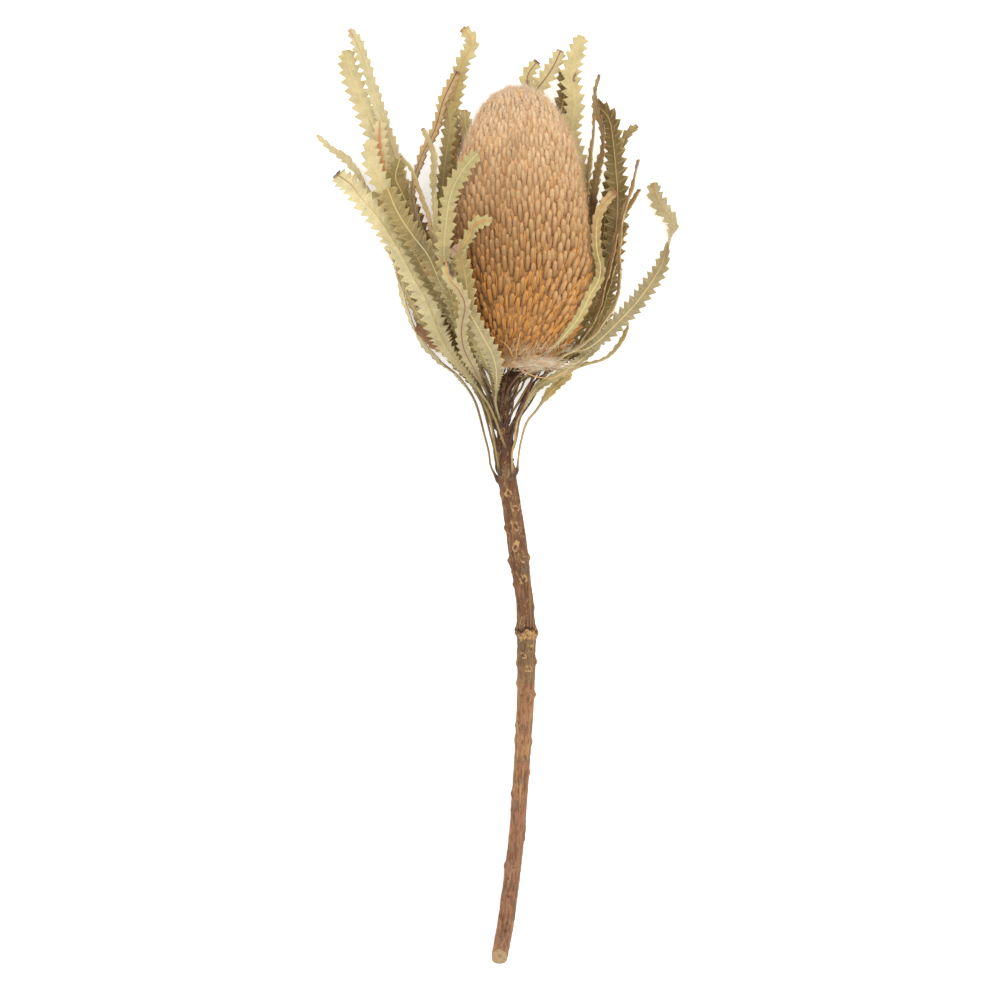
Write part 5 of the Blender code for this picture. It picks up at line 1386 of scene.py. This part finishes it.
def stem_material():
    """Bark: dark brown above, redder below, with pale torn streaks, scars, and pale wood at the cut."""
    n = Nodes("stem_bark", 0.8, specular=0.2)
    y = n.attribute("stem_y")
    n.base = n.mix(n.between(y, -150.0, -120.0), shade(160, 112, 84), shade(168, 120, 86))
    for low, high, colour in (
            (-92.0, -70.0, (128, 100, 72)), (-64.0, -60.0, (122, 84, 60)), (0.0, 34.0, (78, 52, 40))):
        n.over(n.between(y, low, high), shade(*colour))
    n.over(n.between(n.noise(150, 3), 0.48, 0.66, 0.0, 0.5), shade(136, 116, 92))
    dark = n.between(n.noise(1100, 4, 0.6, stretch=(1.0, 0.16, 1.0)), 0.5, 0.66)
    n.over(n.times(dark, 0.6), shade(84, 56, 42))
    lines = n.between(n.noise(620, 3, 0.6, stretch=(1.0, 0.05, 1.0)), 0.56, 0.62)
    lines = n.times(lines, n.between(y, -150.0, -120.0, 0.3, 0.8))
    n.over(n.times(lines, n.between(y, -66.0, -58.0, 0.8, 0.3)), shade(206, 164, 104))
    pale = n.between(n.noise(760, 5, 0.62, stretch=(1.0, 0.14, 1.0)), 0.54, 0.68)
    n.over(n.times(pale, 0.55), shade(192, 148, 102))
    contour = n.math("ABSOLUTE", n.math("SUBTRACT", n.noise(520, 3, 0.6, stretch=(1.0, 0.4, 1.0)), 0.5))
    torn = n.times(n.between(contour, 0.0, 0.034, 1.0, 0.0), n.between(n.noise(170, 2), 0.42, 0.58))
    torn = n.times(torn, n.between(y, -140.0, -60.0, 0.3, 0.9))
    n.over(torn, shade(206, 162, 102))
    n.over(n.times(n.attribute("stem_low"), 0.5), shade(66, 44, 34))
    n.over(n.times(n.between(n.noise(420, 4), 0.56, 0.7), 0.45), shade(88, 60, 44))
    peel = n.between(n.plus(n.attribute("stem_peel"), n.times(n.noise(620, 4), 1.1)), 0.95, 1.2)
    n.over(n.times(peel, n.between(n.noise(1000, 4), 0.4, 0.56, 0.15, 0.9)), shade(208, 162, 104))
    cork = n.between(n.plus(n.attribute("stem_scar"), n.times(n.noise(1200, 3), 0.8)), 0.7, 1.15)
    n.over(n.times(cork, 0.85), shade(208, 164, 112))
    n.over(n.between(n.attribute("stem_hole"), 0.45, 0.95, 0.0, 0.8), shade(96, 64, 46))
    n.over(n.between(n.attribute("stem_ring"), 0.3, 0.8, 0.0, 0.9), shade(56, 36, 28))
    bark = n.base
    share = n.attribute("stem_share")
    rings = n.math("SINE", n.times(n.plus(share, n.times(n.noise(300, 2), 0.1)), 26.0))
    n.base = n.mix(n.between(rings, -1.0, 1.0, 0.0, 0.3), shade(198, 168, 128), shade(176, 140, 102))
    n.over(n.between(n.noise(900, 4), 0.42, 0.66, 0.0, 0.6), shade(168, 130, 96))
    n.over(n.between(share, 0.08, 0.3, 0.7, 0.0), shade(158, 106, 78))
    n.over(n.between(share, 0.84, 0.95, 0.0, 0.8), shade(186, 160, 96))
    n.base = n.mix(n.between(n.attribute("stem_cut"), 0.45, 0.55), bark, n.base)
    height = n.plus(n.noise(1600, 5, 0.6, stretch=(1.0, 0.2, 1.0)), n.times(n.noise(3200, 3), 0.5))
    n.bump(n.plus(height, n.times(torn, 0.6)), 0.00045, 1.0)
    return n.finish()


# The camera: millimetres to the photo's pixel, its middle, the lens, and the height that it looks at.
PHOTO_SCALE = 0.45
PHOTO_PIXELS = 1000
PHOTO_MIDDLE = (2.03, -1.35)
LENS = 260.0
SENSOR = 36.0
VIEW_LEVEL = 22.0
FAR = 20.0
# The floor, the strength of its painted glow, and the light, in metres and watts: each lamp's name, place,
# size and power.
FLOOR_HALF = 6.0
FLOOR_LIGHT = 0.4
LAMPS = (("key", (0.7, 0.6, 1.7), 1.4, 14.0), ("fill", (-1.0, 0.2, 1.6), 1.6, 5.0),
         ("top", (0.1, 0.1, 2.2), 1.8, 9.0))
LAMP_AIM = np.array([0.0, 0.05, 0.03])
WORLD_LIGHT = 0.72
WHITE = (1.0, 1.0, 1.0, 1.0)


def link_new(name, data, place=(0.0, 0.0, 0.0)):
    """A new object of the scene that holds the given data."""
    thing = bpy.data.objects.new(name, data)
    thing.location = place
    bpy.context.scene.collection.objects.link(thing)
    return thing


def make_studio():
    """A camera straight above, a pale floor that glows a little, and soft light."""
    camera = bpy.data.cameras.new("camera")
    camera.lens, camera.sensor_width = LENS, SENSOR
    camera.clip_end = FAR
    height = VIEW_LEVEL + PHOTO_SCALE * PHOTO_PIXELS * LENS / SENSOR
    place = (PHOTO_MIDDLE[0] * MM, PHOTO_MIDDLE[1] * MM, height * MM)
    bpy.context.scene.camera = link_new("camera", camera, place)
    mesh = bpy.data.meshes.new("floor")
    s = FLOOR_HALF
    mesh.from_pydata([(-s, -s, 0), (s, -s, 0), (s, s, 0), (-s, s, 0)], [], [(0, 1, 2, 3)])
    n = Nodes("floor", 0.9, specular=0.0)
    n.base = n.mix(n.noise(3, 1), (0.95, 0.95, 0.95, 1), (0.97, 0.97, 0.97, 1))
    # The floor glows a little: painted light that lightens the shadows on it and lights the object from
    # below.
    n.shader.inputs["Emission Color"].default_value = WHITE
    n.shader.inputs["Emission Strength"].default_value = FLOOR_LIGHT
    mesh.materials.append(n.finish())
    link_new("floor", mesh)
    for name, place, size, energy in LAMPS:
        light = bpy.data.lights.new(name, "AREA")
        light.shape, light.size, light.energy = "DISK", size, energy
        x, y, z = LAMP_AIM - np.array(place)
        down = math.acos(-z / np.linalg.norm((x, y, z)))
        link_new(name, light, place).rotation_euler = (down, 0.0, math.atan2(y, x) - math.pi / 2)
    world = bpy.data.worlds.new("studio")
    world.use_nodes = True
    background = world.node_tree.nodes["Background"]
    background.inputs["Color"].default_value = WHITE
    background.inputs["Strength"].default_value = WORLD_LIGHT
    bpy.context.scene.world = world
    bpy.context.scene.view_settings.view_transform = "Standard"


STEM = stem_line()
make_studio()
make_stem()
cone_shape = outline_rows()
make_core(cone_shape)
florets = make_florets(cone_shape)
make_wool(florets)
make_styles(florets)
make_base_wool()
make_loose_styles()
make_base_stalks()
make_leaves()
